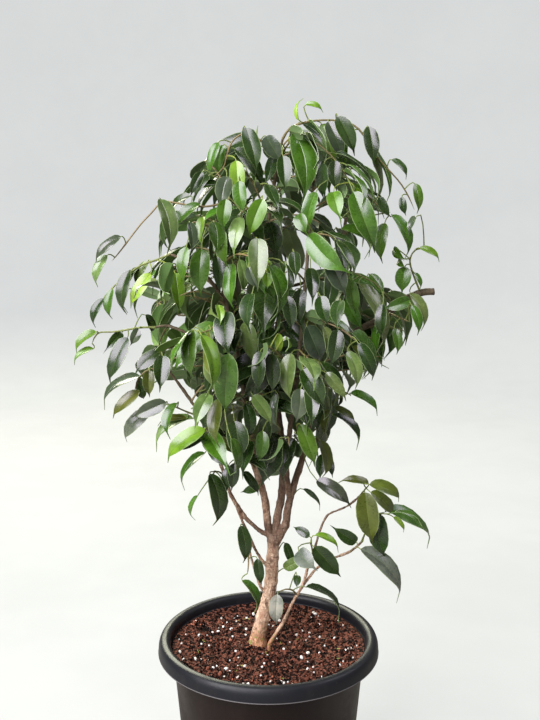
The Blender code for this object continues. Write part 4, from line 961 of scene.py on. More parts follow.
def mottle_effect() -> bpy.types.NodeTree:
    """Make the uneven tone that every grown or worn surface here has, at two sizes."""
    graph, given, value = effect_group("mottle", "Value", Scale=100.0, Fine_Share=0.4)
    coarse, fine = (graph.add("TexNoise", {"Vector": given["Vector"], "Scale": scale}).outputs["Fac"]
                    for scale in (given["Scale"], graph.times(given["Scale"], 5.3)))
    blended = graph.plus(coarse, graph.times(graph.minus(fine, coarse), given["Fine Share"]))
    graph.feed(value, graph.step(blended, 0.32, 0.68))
    return graph.tree


def grain_effect() -> bpy.types.NodeTree:
    """Make a fine relief of small pits and bumps."""
    graph, given, height = effect_group("fine_grain", "Height", Scale=900.0)
    where = {"Vector": given["Vector"], "Scale": given["Scale"]}
    bumps = graph.add("TexNoise", {**where, "Detail": 4.0}).outputs["Fac"]
    pits = graph.add("TexVoronoi", where).outputs["Distance"]
    graph.feed(height, graph.plus(bumps, graph.times(pits, 0.5)))
    return graph.tree


MOTTLE = mottle_effect()
GRAIN = grain_effect()


class Coat(Graph):
    """Graph of a new material, from the object's coordinates to the shader."""

    def __init__(self, name: str) -> None:
        """Start the material.

        Args:
            name: its name.
        """
        self.material = bpy.data.materials.new(name)
        self.material.use_nodes = True
        super().__init__(self.material.node_tree)
        self.place = self.add("TexCoord").outputs["Object"]

    def mark(self, title: str) -> Socket:
        """Return a colour that is marked on the piece's points."""
        return self.add("Attribute", attribute_name=title).outputs["Color"]

    def axes(self, where: Socket) -> list[Socket]:
        """Return the three coordinates of a place."""
        return list(self.add("SeparateXYZ", {0: where}).outputs)

    def channels(self, colour: Socket) -> list[Socket]:
        """Return the three channels of a colour."""
        return list(self.add("SeparateColor", {0: colour}).outputs)

    def stretched(self, along: Triple) -> Socket:
        """Return the object's coordinates scaled by a factor on each axis."""
        return self.add("Mapping", {"Vector": self.place, "Scale": along}).outputs[0]

    def mottle(self, scale: float, fine_share: float, where: Socket | None = None) -> Socket:
        """Return the uneven tone, at the object's coordinates if no others are given."""
        values = {"Vector": self.place if where is None else where, "Scale": scale, "Fine Share": fine_share}
        return self.add("Group", values, node_tree=MOTTLE).outputs[0]

    def grain(self, scale: float, where: Socket | None = None) -> Socket:
        """Return the fine relief, at the object's coordinates if no others are given."""
        values = {"Vector": self.place if where is None else where, "Scale": scale}
        return self.add("Group", values, node_tree=GRAIN).outputs[0]

    def relief(self, height: Socket, strength: float, depth: float) -> Socket:
        """Return the normal of a surface with a relief of a depth in mm."""
        values = {"Strength": strength, "Distance": depth * MM, "Height": height}
        return self.add("Bump", values).outputs[0]

    def finished(self, **values: object) -> Material:
        """Feed the shader.

        Args:
            values: its inputs, with spaces in their names written as underscores.

        Returns:
            The material.
        """
        shader = self.tree.nodes["Principled BSDF"]
        for title, value in values.items():
            self.feed(shader.inputs[title.replace("_", " ")], value)
        return self.material


@dataclass(frozen=True)
class BladeFinish:
    """Waxy leaf: midrib, fine side veins, pale margin partly painted as an edge highlight, paler and duller
    underside.
    """

    name: str = "leaf_blade"
    veins: float = 15.0
    vein_slant: float = 0.30
    dark_tone: Rgb = (0.62, 0.66, 0.62)
    light_tone: Rgb = (1.45, 1.35, 1.2)
    under_tone: Rgb = (1.5, 1.4, 1.5)
    rib: Rgb = (0.30, 0.40, 0.12)
    # Pale margin, partly the leaf's own and partly a painted edge highlight
    margin: Rgb = (0.29, 0.38, 0.17)
    under: Rgb = (0.16, 0.25, 0.10)
    gloss: float = 0.75
    gloss_tint: Rgb = (0.95, 0.88, 1.0)

    def build(self) -> Material:
        """Return the material."""
        coat = Coat(self.name)
        tint = coat.mark("tint")
        under, rough, _ = coat.channels(coat.mark("look"))
        across, along, _ = coat.axes(coat.add("UVMap", uv_map="leaf_chart").outputs[0])
        off_rib = coat.maths("ABSOLUTE", coat.minus(across, 0.5), 0.0)
        rib = coat.step(off_rib, 0.008, 0.032, 1.0, 0.0)
        run = coat.times(coat.minus(along, coat.times(off_rib, self.vein_slant)), self.veins)
        vein = coat.step(coat.maths("PINGPONG", coat.plus(run, 40.0), 0.5), 0.0, 0.16, 1.0, 0.0)
        vein = coat.times(vein, coat.step(off_rib, 0.47, 0.40))
        blotch = coat.mottle(95.0, 0.35)
        lighter = coat.toned(tint, self.light_tone)
        upper = coat.layered(
            coat.toned(tint, self.dark_tone), (blotch, 0.75, lighter),
            (coat.step(off_rib, 0.05, 0.42, 0.22, 0.0), 1.0, lighter), (vein, 0.045, self.rib),
            (rib, 0.13, self.rib))
        back = coat.mix(0.42, coat.toned(tint, self.under_tone), self.under)
        back = coat.layered(back, (coat.either(rib, coat.times(vein, 0.4)), 0.35, self.rib))
        # The pale margin is partly the leaf's own colour and partly a painted edge highlight
        margin = coat.step(off_rib, 0.460, 0.489)
        colour = coat.layered(upper, (under, 1.0, back), (margin, 0.62, self.margin))
        worn = coat.times(coat.minus(blotch, 0.5), 0.12)
        rough = coat.plus(coat.plus(coat.minus(rough, 0.23), worn), coat.times(under, 0.22), True)
        raised = coat.times(coat.either(rib, coat.times(vein, 0.12)), -1.0)
        height = coat.plus(raised, coat.times(coat.grain(1400.0), 0.008))
        return coat.finished(Base_Color=colour, Roughness=rough, Normal=coat.relief(height, 0.7, 0.16),
                             Specular_IOR_Level=self.gloss, Specular_Tint=self.gloss_tint)


@dataclass(frozen=True)
class TwigFinish:
    """Thin young bark: tinted, with pale breathing pores."""

    name: str = "twig_bark"
    dark_tone: Rgb = (0.55, 0.52, 0.45)
    pore: Rgb = (0.52, 0.42, 0.30)

    def build(self) -> Material:
        """Return the material."""
        coat = Coat(self.name)
        tint = coat.mark("tint")
        pore = coat.step(coat.cells(coat.place, 640.0)["Distance"], 0.10, 0.24, 1.0, 0.0)
        colour = coat.layered(coat.toned(tint, self.dark_tone), (coat.mottle(210.0, 0.5), 1.0, tint),
                              (pore, 0.5, self.pore))
        return coat.finished(Base_Color=colour, Roughness=0.62,
                             Normal=coat.relief(coat.grain(1100.0), 0.6, 0.22))


@dataclass(frozen=True)
class BarkFinish:
    """Bark of the stems: tan and pinkish, scaly patches, dark scars, an orange-brown foot, and painted
    shade in the crotch of the fork and down the fork's right side.

    Heights, and one reading across, say where a colour begins and where it is full, in metres.
    """

    name: str = "bark"
    dark: Rgb = (0.105, 0.042, 0.022)
    tan: Rgb = (0.37, 0.190, 0.112)
    pale: Rgb = (0.92, 0.68, 0.49)
    foot: Rgb = (0.38, 0.150, 0.058)
    moss: Rgb = (0.15, 0.24, 0.03)
    fork: Rgb = (0.190, 0.095, 0.060)
    # Colour of the painted shade in the fork's crotch and on its shaded right side
    painted_shade: Rgb = (0.070, 0.040, 0.024)
    crown: Rgb = (0.080, 0.062, 0.030)
    foot_ends: Pair = (0.157, 0.180)
    fork_starts: Pair = (0.195, 0.250)
    crotch_starts: Pair = (0.244, 0.258)
    crotch_ends: Pair = (0.266, 0.282)
    shaded_side_starts: Pair = (0.262, 0.275)
    shaded_side_across: Pair = (0.003, 0.010)
    crown_starts: Pair = (0.330, 0.400)

    def build(self) -> Material:
        """Return the material."""
        coat = Coat(self.name)
        across, _, height = coat.axes(coat.place)
        tall, flat = coat.stretched((1.0, 1.0, 0.45)), coat.stretched((0.55, 0.55, 2.2))
        blotch = coat.mottle(230.0, 0.5, tall)
        scale = coat.step(coat.noise(tall, 330.0, 5.0, 0.66, 0.6), 0.50, 0.57)
        ring = coat.step(coat.noise(flat, 210.0, 3.0, 0.5, 1.2), 0.60, 0.70)
        scar = coat.step(coat.noise(tall, 130.0, 4.0, 0.65), 0.56, 0.64)
        moss = coat.step(coat.noise(coat.place, 330.0, 2.0), 0.58, 0.63)
        low = coat.step(height, *self.foot_ends, 1.0, 0.0)
        # Painted shade: a band in the crotch between the limbs, and the fork's right side turned from the
        # light
        crotch = coat.times(coat.step(height, *self.crotch_starts),
                            coat.step(height, *self.crotch_ends, 1.0, 0.0))
        shaded_side = coat.times(coat.step(across, *self.shaded_side_across), coat.step(height, *self.shaded_side_starts))
        worn = coat.plus(coat.times(blotch, -0.5), 0.72, True)
        colour = coat.layered(
            self.tan, (blotch, 0.72, self.pale), (scale, 0.75, self.pale), (ring, 0.55, self.dark),
            (scar, 0.7, self.dark), (low, coat.plus(blotch, 0.25, True), self.foot),
            (coat.step(height, *self.fork_starts), worn, self.fork),
            # painted shade of the crotch and the shaded side
            (coat.either(crotch, shaded_side), 0.58, self.painted_shade),
            (coat.step(height, *self.crown_starts), 0.88, self.crown),
            (coat.times(moss, low), 0.8, self.moss))
        lift = coat.plus(coat.times(coat.grain(760.0, tall), 0.8), coat.times(ring, -0.9))
        lift = coat.plus(lift, coat.times(scale, 0.7))
        return coat.finished(Base_Color=colour, Roughness=0.72, Normal=coat.relief(lift, 1.0, 0.6))


@dataclass(frozen=True)
class MixFinish:
    """Moist coco mix: reddish dark-brown crumbs, each of its own tone."""

    name: str = "potting_mix"
    dark: Rgb = (0.0025, 0.0009, 0.0006)
    light: Rgb = (0.205, 0.073, 0.047)

    def build(self) -> Material:
        """Return the material."""
        coat = Coat(self.name)
        crumb = coat.channels(coat.cells(coat.place, 520.0)["Color"])[0]
        fine = coat.noise(coat.place, 1500.0, 3.0, 0.7)
        share = coat.maths("MULTIPLY", coat.step(crumb, 0.30, 0.95), coat.plus(fine, 0.35), True)
        colour = coat.toned(coat.mix(share, self.dark, self.light), coat.mark("tint"))
        return coat.finished(Base_Color=colour, Roughness=0.86, Specular_IOR_Level=0.12,
                             Normal=coat.relief(coat.grain(900.0), 1.0, 0.9))


@dataclass(frozen=True)
class GrainFinish:
    """Puffed mineral grain or dry fibre: chalky, tinted, faintly soiled."""

    name: str
    soil: Rgb = (0.20, 0.12, 0.08)

    def build(self) -> Material:
        """Return the material."""
        coat = Coat(self.name)
        soiled = coat.step(coat.mottle(700.0, 0.5), 0.45, 1.0, 0.0, 0.45)
        return coat.finished(Base_Color=coat.mix(soiled, coat.mark("tint"), self.soil), Roughness=0.8,
                             Normal=coat.relief(coat.grain(2200.0), 0.8, 0.3))


@dataclass(frozen=True)
class PlasticFinish:
    """Moulded nursery plastic: satin, nearly black, dusty, with a painted highlight line along the lip's
    lower edge.
    """

    name: str = "pot_plastic"
    # The lip is a little bluer than the wall: a painted cool reflection
    lip: Rgb = (0.009, 0.010, 0.013)
    wall: Rgb = (0.010, 0.0048, 0.0038)
    # Colour of the painted highlight line along the lip's lower edge
    painted_edge_highlight: Rgb = (0.16, 0.15, 0.15)
    dust: Rgb = (0.16, 0.12, 0.10)
    lip_starts: Pair = (0.1545, 0.1565)
    edge_height: float = 0.1569

    def build(self) -> Material:
        """Return the material."""
        coat = Coat(self.name)
        height = coat.axes(coat.place)[2]
        speck = coat.step(coat.noise(coat.place, 900.0, 2.0), 0.66, 0.74)
        smear = coat.step(coat.noise(coat.stretched((1.0, 1.0, 0.3)), 60.0, 4.0), 0.52, 0.75)
        dusty = coat.plus(coat.times(speck, 0.10), coat.times(smear, 0.03))
        # The lip's bluer colour over the wall's is a painted cool reflection
        colour = coat.mix(coat.step(height, *self.lip_starts), self.wall, self.lip)
        # A thin pale line painted at the lip's lower edge stands in for its highlight
        off_edge = coat.maths("ABSOLUTE", coat.minus(height, self.edge_height), 0.0)
        colour = coat.layered(colour, (dusty, 1.0, self.dust),
                              (coat.step(off_edge, 0.0002, 0.0006, 0.75, 0.0), 1.0, self.painted_edge_highlight))
        rough = coat.step(coat.plus(coat.mottle(26.0, 0.3), dusty), 0.0, 1.4, 0.36, 0.52)
        return coat.finished(Base_Color=colour, Roughness=rough, Specular_IOR_Level=0.27,
                             Normal=coat.relief(coat.grain(1300.0), 0.25, 0.08))


@dataclass(frozen=True)
class StageFinish:
    """Matt pale paper of the studio floor, lit of itself where the camera sees it."""

    name: str = "studio_paper"
    dark: Rgb = (0.13, 0.13, 0.12)
    light: Rgb = (0.16, 0.16, 0.15)
    unseen: Rgb = (0.22, 0.21, 0.20)
    glow: Rgb = (0.93, 0.96, 0.97)

    def build(self) -> Material:
        """Return the material."""
        coat = Coat(self.name)
        seen = coat.add("LightPath").outputs["Is Camera Ray"]
        paper = coat.mix(coat.mottle(3.0, 0.3), self.dark, self.light)
        glow = coat.mix(seen, (0.0, 0.0, 0.0), self.glow)
        return coat.finished(Base_Color=coat.mix(seen, self.unseen, paper), Roughness=0.9,
                             Emission_Color=glow, Emission_Strength=0.62)


def set_down(piece: Piece, slot: str, *nodes: str) -> None:
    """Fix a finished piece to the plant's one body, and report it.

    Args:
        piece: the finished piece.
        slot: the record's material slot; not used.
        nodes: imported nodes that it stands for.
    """
    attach(piece, "root")
    if nodes:
        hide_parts(*nodes)
    LOG.info("%s: %d faces", piece.name, len(piece.data.polygons))


def turned_form(name: str, profile: list[Pair], steps: int, finish: Material) -> Piece:
    """Turn a closed form about the pot's axis.

    Args:
        name: the object's name.
        profile: (radius, height) of each point, from the axis round to the axis.
        steps: number of steps round.
        finish: its material.

    Returns:
        The object, at the origin, smooth, its faces outward.
    """
    start_clean()
    radius, height = profile[0]
    bpy.ops.mesh.primitive_plane_add(size=MM, location=(radius, 0.0, height))
    made = bpy.context.object
    made.name = made.data.name = name
    bpy.ops.object.mode_set(mode="EDIT")
    bpy.ops.mesh.select_all(action="SELECT")
    bpy.ops.mesh.merge(type="CENTER")
    for next_radius, next_height in profile[1:]:
        move = (next_radius - radius, 0.0, next_height - height)
        bpy.ops.mesh.extrude_vertices_move(TRANSFORM_OT_translate={"value": move})
        radius, height = next_radius, next_height
    bpy.ops.mesh.select_all(action="SELECT")
    bpy.ops.mesh.spin(steps=steps, angle=math.tau, center=(0.0, 0.0, 0.0), axis=(0.0, 0.0, 1.0))
    bpy.ops.mesh.select_all(action="SELECT")
    bpy.ops.mesh.remove_doubles(threshold=0.02 * MM)
    close_outward()
    bpy.ops.object.transform_apply(location=True, rotation=True, scale=True)
    made.data.materials.append(finish)
    made.data.shade_smooth()
    return made


def wall_radius(height: float) -> float:
    """Return the outer radius of the pot's wall at a height."""
    return POT_BASE_RADIUS + (POT_NECK_RADIUS - POT_BASE_RADIUS) * height / POT_NECK_HEIGHT


@dataclass
class NurseryPot:
    """Thin-walled pot with a rolled lip and drainage holes.

    Points of the lip give the radius and the height over the wall's end, and those of the corner inside
    and of the foot the distance in from the wall's and the base's radius and the height, all in mm.
    """

    lip_drop: float = 13.5 * MM
    inner_corner: tuple[Pair, ...] = ((2.5, 0.0), (0.6, 0.7), (0.0, 2.6))
    lip_roll: tuple[Pair, ...] = (
        (88.8, 4.5), (89.2, 10.3), (91.6, 13.0), (94.4, 13.5), (97.4, 12.4), (99.3, 9.0), (99.9, 4.5),
        (100.0, 1.4))
    lip_under: tuple[Pair, ...] = (
        (100.25, 1.0), (100.2, 0.6), (99.8, 0.35), (99.1, 0.35), (98.4, 0.5), (97.8, 1.6), (96.9, 4.5),
        (94.8, 6.2), (91.6, 4.8), (90.4, 0.6))
    foot: tuple[Pair, ...] = ((1.6, 0.0), (5.0, 0.0), (6.2, 0.8))
    steps: int = 160
    drain_holes: int = 6
    drain_radius: float = 4.5 * MM
    drain_circle: float = 54.0 * MM
    drill_sides: int = 28
    drill_depth: float = 14.0 * MM
    sharp_angle: float = 38.0

    def profile(self) -> list[Pair]:
        """Return the pot's outline, from the floor's middle over the lip to the base's middle."""
        edge = POT_HEIGHT - self.lip_drop
        corner = wall_radius(POT_FLOOR) - POT_WALL
        roll = smooth_path([Vector((radius * MM, 0.0, edge + rise * MM)) for radius, rise in self.lip_roll],
                           0.9 * MM)
        return [
            (0.0, POT_FLOOR),
            *((corner - inset * MM, POT_FLOOR + rise * MM) for inset, rise in self.inner_corner),
            (wall_radius(edge) - POT_WALL, edge), *((point.x, point.z) for point in roll),
            *((radius * MM, edge + rise * MM) for radius, rise in self.lip_under),
            (wall_radius(edge) + 0.9 * MM, edge - 2.2 * MM),
            *((wall_radius(height), height) for height in (edge - 6 * MM, 60 * MM, 3 * MM)),
            (wall_radius(0.0) - 0.35 * MM, 1.2 * MM),
            *((POT_BASE_RADIUS - inset * MM, rise * MM) for inset, rise in self.foot), (0.0, 0.8 * MM)]

    def build(self) -> None:
        """Build the pot and drill its base."""
        pot = turned_form("nursery_pot", self.profile(), self.steps, PlasticFinish().build())
        for index in range(self.drain_holes):
            angle = math.tau * (index + 0.5) / self.drain_holes
            place = (self.drain_circle * math.cos(angle), self.drain_circle * math.sin(angle), 0.0)
            start_clean()
            bpy.ops.mesh.primitive_cylinder_add(vertices=self.drill_sides, radius=self.drain_radius,
                                                depth=self.drill_depth, location=place)
            drill = bpy.context.object
            apply_modifier(pot, "BOOLEAN", operation="DIFFERENCE", object=drill, solver="EXACT")
            bpy.data.objects.remove(drill)
        pot.data.shade_smooth()
        pot.data.set_sharp_from_angle(angle=math.radians(self.sharp_angle))
        set_down(pot, "pot_plastic", "pot")


@dataclass(frozen=True)
class Litter:
    """Bits of one kind on the potting mix.

    Their size is the least and the greatest radius of a lump or length of a fibre, in mm. Lumps are
    modelled in a number of divisions, sunk by a share of their radius and knocked out of shape. Fibres
    have a radius.
    """

    name: str
    count: int
    size: Pair
    tints: tuple[Rgb, ...]
    finish: Material
    divisions: int = 1
    sink: float = 0.3
    roughness: float = 0.2
    radius: float = 0.3 * MM


@dataclass
class PottingMix:
    """Bed of coco mix with crumbs, pale grains, fibres and a few green flecks on it."""

    rings: int = 62
    steps: int = 190
    clear: float = 0.6 * MM
    hollow: float = 2.4
    dish: float = 7.0
    widening: float = 3.0 * MM
    edge: float = 7.0 * MM
    lump_inset: float = 1.5 * MM
    fibre_inset: float = 12.0 * MM
    foot_inset: float = 3.0 * MM
    level_share: float = 0.8
    waves: tuple[tuple[float, float, Triple], ...] = (
        (0.035, 2.2, (0.0, 0.0, 0.0)), (0.11, 1.5, (7.0, 3.0, 1.0)), (0.7, 0.7, (0.0, 0.0, 0.0)))
    crumb_scale: float = 0.22
    crumb_top: float = 1.3
    crumb_drop: float = 2.6
    crumb_reach: float = 0.6
    lump_share: float = 0.9
    lump_stretch: Pair = (0.65, 1.25)
    fibre_bend: float = 0.3
    fibre_rise: Pair = (0.4, 1.6)
    finish: Material = field(default_factory=lambda: MixFinish().build())
    browns: tuple[Rgb, ...] = (
        (0.8, 0.78, 0.76), (1.45, 1.38, 1.3), (0.26, 0.24, 0.24), (2.1, 2.1, 2.0), (0.45, 0.40, 0.36))
    whites: tuple[Rgb, ...] = (
        (0.80, 0.79, 0.76), (0.86, 0.86, 0.84), (0.70, 0.68, 0.64), (0.76, 0.72, 0.66))
    straws: tuple[Rgb, ...] = ((0.16, 0.08, 0.045), (0.24, 0.13, 0.075), (0.09, 0.045, 0.028))
    greens: tuple[Rgb, ...] = ((0.20, 0.26, 0.04), (0.30, 0.30, 0.06))

    def rim(self) -> float:
        """Return the radius of the bed's top."""
        return wall_radius(MIX_LEVEL) - POT_WALL - self.clear

    def lifted(self, where: Vector, reach: float) -> float:
        """Work out how far the bed's top is raised at a point.

        Args:
            where: the point, in mm.
            reach: its distance from the pot's axis, in metres.

        Returns:
            The height over the mix's level, in mm.
        """
        broad, near, fine = (noise.noise(where * scale + Vector(shift)) * height
                             for scale, height, shift in self.waves)
        crumb = noise.voronoi(where * self.crumb_scale)[0][0]
        lump = self.crumb_top - self.crumb_drop * min(crumb, self.crumb_reach) + fine
        dish = self.dish * (reach / self.rim())**3 - self.hollow
        fading = min(1.0, (self.rim() - reach) / self.edge)
        return (broad + near) * fading + lump * self.lump_share + dish

    def bed(self) -> Piece:
        """Return the bed, its top uneven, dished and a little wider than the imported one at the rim."""
        floor, rim = POT_FLOOR + self.clear, self.rim()
        profile = [(rim * ring / self.rings, MIX_LEVEL) for ring in range(self.rings + 1)]
        profile += [(wall_radius(floor) - POT_WALL - self.foot_inset, floor), (0.0, floor)]
        level = self.level_share * rim
        made = turned_form("potting_mix_bed", profile, self.steps, self.finish)
        for vert in made.data.vertices:
            if vert.co.z < MIX_LEVEL - 0.1 * MM:
                continue
            reach = math.hypot(vert.co.x, vert.co.y)
            vert.co.z += self.lifted(vert.co / MM, reach) * MM
            spread = max(0.0, (reach - level) / (rim - level)) * self.widening / max(reach, MM)
            vert.co.x += vert.co.x * spread
            vert.co.y += vert.co.y * spread
        marks = made.data.attributes.new("tint", "FLOAT_COLOR", "POINT")
        marks.data.foreach_set("color", np.ones(len(made.data.vertices) * 4))
        return made

    def spots(self, count: int, draw: random.Random, ground: BVHTree,
              inset: float) -> list[tuple[Vector, Vector]]:
        """Choose places on the bed.

        Args:
            count: how many.
            draw: source of chance.
            ground: the bed's surface.
            inset: least distance to the bed's rim.

        Returns:
            Each place and the surface's normal there.
        """
        found = []
        while len(found) < count:
            radius, angle = (self.rim() - inset) * math.sqrt(draw.random()), draw.uniform(0.0, math.tau)
            above = Vector((radius * math.cos(angle), radius * math.sin(angle), POT_HEIGHT + 0.05))
            hit, normal, _, _ = ground.ray_cast(above, -UP)
            if hit is not None:
                found.append((hit, normal))
        return found

    def scatter(self, litter: Litter, ground: BVHTree) -> None:
        """Scatter lumps over the bed.

        Args:
            litter: their kind.
            ground: the bed's surface.
        """
        draw = random.Random(litter.name)
        start_clean()
        bpy.ops.mesh.primitive_ico_sphere_add(subdivisions=litter.divisions, radius=1.0)
        shape = Shape.taken_from(bpy.context.object)
        heap = Gathering()
        for hit, normal in self.spots(litter.count, draw, ground, self.lump_inset):
            radius = draw.triangular(*litter.size, litter.size[0]) * MM
            turn = Matrix.Rotation(draw.uniform(0, math.tau), 3, (draw.gauss(0, 1), draw.gauss(0, 1), 1.0))
            stretch = np.array([draw.uniform(*self.lump_stretch) for _ in range(3)])
            dents = np.array([1.0 + litter.roughness * draw.uniform(-1, 1) for _ in shape.points])
            places = (shape.points * dents[:, None] * stretch) @ np.array(turn) * radius
            middle = np.array(hit + normal * radius * (1.0 - litter.sink))
            heap.lay(shape, places + middle, tint=draw.choice(litter.tints))
        set_down(heap.piece(litter.name, [litter.finish], 40.0), "potting_mix")

    def strew(self, litter: Litter, ground: BVHTree) -> None:
        """Strew bent fibres over the bed.

        Args:
            litter: their kind.
            ground: the bed's surface.
        """
        draw = random.Random(litter.name)
        rod = RodPattern(4, 5)
        heap = Gathering()
        for hit, normal in self.spots(litter.count, draw, ground, self.fibre_inset):
            heading = Vector((draw.gauss(0, 1), draw.gauss(0, 1), 0.0)).normalized()
            reach = draw.uniform(*litter.size) * MM
            bend = heading.cross(normal) * draw.uniform(-self.fibre_bend, self.fibre_bend) * reach
            middle = hit + normal * draw.uniform(*self.fibre_rise) * MM
            path = []
            for above in (middle + heading * reach / 2 + bend, middle, middle + heading * -reach / 2 + bend):
                found = ground.ray_cast(above + UP * 0.03, -UP)[0]
                path.append((found if found is not None else above) + UP * (0.5 * MM))
            radii = np.linspace(litter.radius, litter.radius * 0.5, rod.segments + 1)
            heap.lay(rod.shape, rod.bent(smooth_path(path, 3 * MM), radii), tint=draw.choice(litter.tints))
        set_down(heap.piece(litter.name, [litter.finish]), "potting_mix")

    def build(self) -> None:
        """Build the bed and all that lies on it."""
        bed = self.bed()
        ground = BVHTree.FromPolygons([vert.co.copy() for vert in bed.data.vertices],
                                      [tuple(face.vertices) for face in bed.data.polygons])
        set_down(bed, "potting_mix", "potting_mix")
        chalk, straw = GrainFinish("perlite").build(), GrainFinish("dry_fibre", (0.10, 0.05, 0.03)).build()
        for litter in (Litter("mix_lumps", 90, (1.3, 2.6), self.browns, self.finish, 2, 0.5, 0.16),
                       Litter("mix_crumbs", 3200, (0.5, 1.35), self.browns, self.finish, 1, 0.35, 0.22),
                       Litter("perlite_grains", 105, (0.7, 1.9), self.whites, chalk, 2, 0.3, 0.14)):
            self.scatter(litter, ground)
        for litter in (Litter("coco_fibres", 70, (6, 20), self.straws, straw, radius=0.28 * MM),
                       Litter("green_flecks", 16, (3, 7), self.greens, straw, radius=0.5 * MM)):
            self.strew(litter, ground)


@dataclass
class Stems:
    """Woody stems of one foot: rods along their routes, grown together and covered with bark."""

    name: str
    node: str
    slot: str
    routes: tuple[tuple[float, float, tuple[Triple, ...]], ...]
    finish: Material
    voxel: float = 0.8 * MM
    knots: float = 0.17
    flare: float = 1.32
    slimming: float = 1.0
    sides: int = 12
    ring_gap: float = 2.2 * MM
    first_knot: Pair = (6.0, 12.0)
    knot_gap: Pair = (9.0, 19.0)
    knot_length: float = 2.0 * MM
    knot_size: Pair = (0.4, 1.0)
    path_step: float = 4.0 * MM
    sink: float = 16.0 * MM
    smoothing: float = 0.5
    smooth_rounds: int = 3
    flare_height: float = 7.0 * MM
    furrows: tuple[Pair, ...] = ((0.16, 0.35), (0.45, 0.28), (1.1, 0.14))

    def path(self, index: int) -> list[Vector]:
        """Return the smooth centre line of one stem, down into the mix for the first.

        Args:
            index: which stem.

        Returns:
            Its points.
        """
        path = smooth_path([sighted(*point) for point in self.routes[index][2]], self.path_step)
        if index == 0:
            path = [Vector((path[0].x, path[0].y, BURIED_END)), path[0] + Vector((0, 0, -self.sink))] + path
        return path

    def radii(self, index: int, path: list[Vector], rings: int) -> np.ndarray:
        """Return the radius at each ring, with swollen nodes and a flared foot.

        Args:
            index: which stem.
            path: its centre line.
            rings: how many rings it has.

        Returns:
            The radii, in metres.
        """
        first, last = (radius * self.slimming * MM for radius in self.routes[index][:2])
        draw = random.Random(f"{self.name} {index}")
        length = path_length(path)
        marks = np.linspace(0.0, length, rings)
        radii = np.linspace(first, last, rings)
        at = draw.uniform(*self.first_knot) * MM
        while at < length:
            size = draw.uniform(*self.knot_size) * self.knots
            radii = radii * (1.0 + size * np.exp(-((marks - at) / self.knot_length)**2))
            at += draw.uniform(*self.knot_gap) * MM
        if index == 0:
            rise = resampled(path, rings)[:, 2] - MIX_LEVEL
            radii = radii * (1.0 + (self.flare - 1.0) * np.exp(-np.clip(rise, 0, None) / self.flare_height))
        return radii

    def build(self) -> None:
        """Build the stems: lay the rods, join them, smooth the forks and roughen the bark."""
        bundle = Gathering()
        for index in range(len(self.routes)):
            path = self.path(index)
            rod = RodPattern(self.sides, max(8, round(path_length(path) / self.ring_gap)))
            bundle.lay(rod.shape, rod.bent(path, self.radii(index, path, rod.segments + 1)))
        made = bundle.piece(self.name, [])
        apply_modifier(made, "REMESH", mode="VOXEL", voxel_size=self.voxel)
        apply_modifier(made, "SMOOTH", factor=self.smoothing, iterations=self.smooth_rounds)
        self.roughen(made.data)
        made.data.materials.clear()
        made.data.materials.append(self.finish)
        made.data.shade_smooth()
        set_down(made, self.slot, self.node)

    def roughen(self, mesh: bpy.types.Mesh) -> None:
        """Give the bark its shallow furrows and scales.

        Args:
            mesh: the stems' mesh.
        """
        places, normals = (read_all(mesh.vertices, title, 3) for title in ("co", "normal"))
        depth = [sum(noise.noise(where * scale) * height for scale, height in self.furrows)
                 for where in map(Vector, places * (1.0, 1.0, 0.4) / MM)]
        mesh.vertices.foreach_set("co", (places + normals * np.array(depth)[:, None] * MM).ravel())
        mesh.update()


def shoot_path(number: int, route: tuple[Triple, ...], variant: int) -> list[Vector]:
    """Follow a twig's centre line, moved a little off its route as its solid is.

    Args:
        number: the shoot's number.
        route: points (across, up, depth) in mm.
        variant: which of the small moves off the route.

    Returns:
        Points of the path, from the middle of the wood that carries it.
    """
    draw = random.Random(f"route {number} {variant}")
    points = [sighted(*route[0])]
    for point in route[1:]:
        shift = Vector((draw.uniform(-1, 1), draw.uniform(-1, 1), draw.uniform(-1, 1)))
        points.append(sighted(*point) + shift * min(variant, ROUTE_SHIFT) * MM)
    return smooth_path(points, 5 * MM)


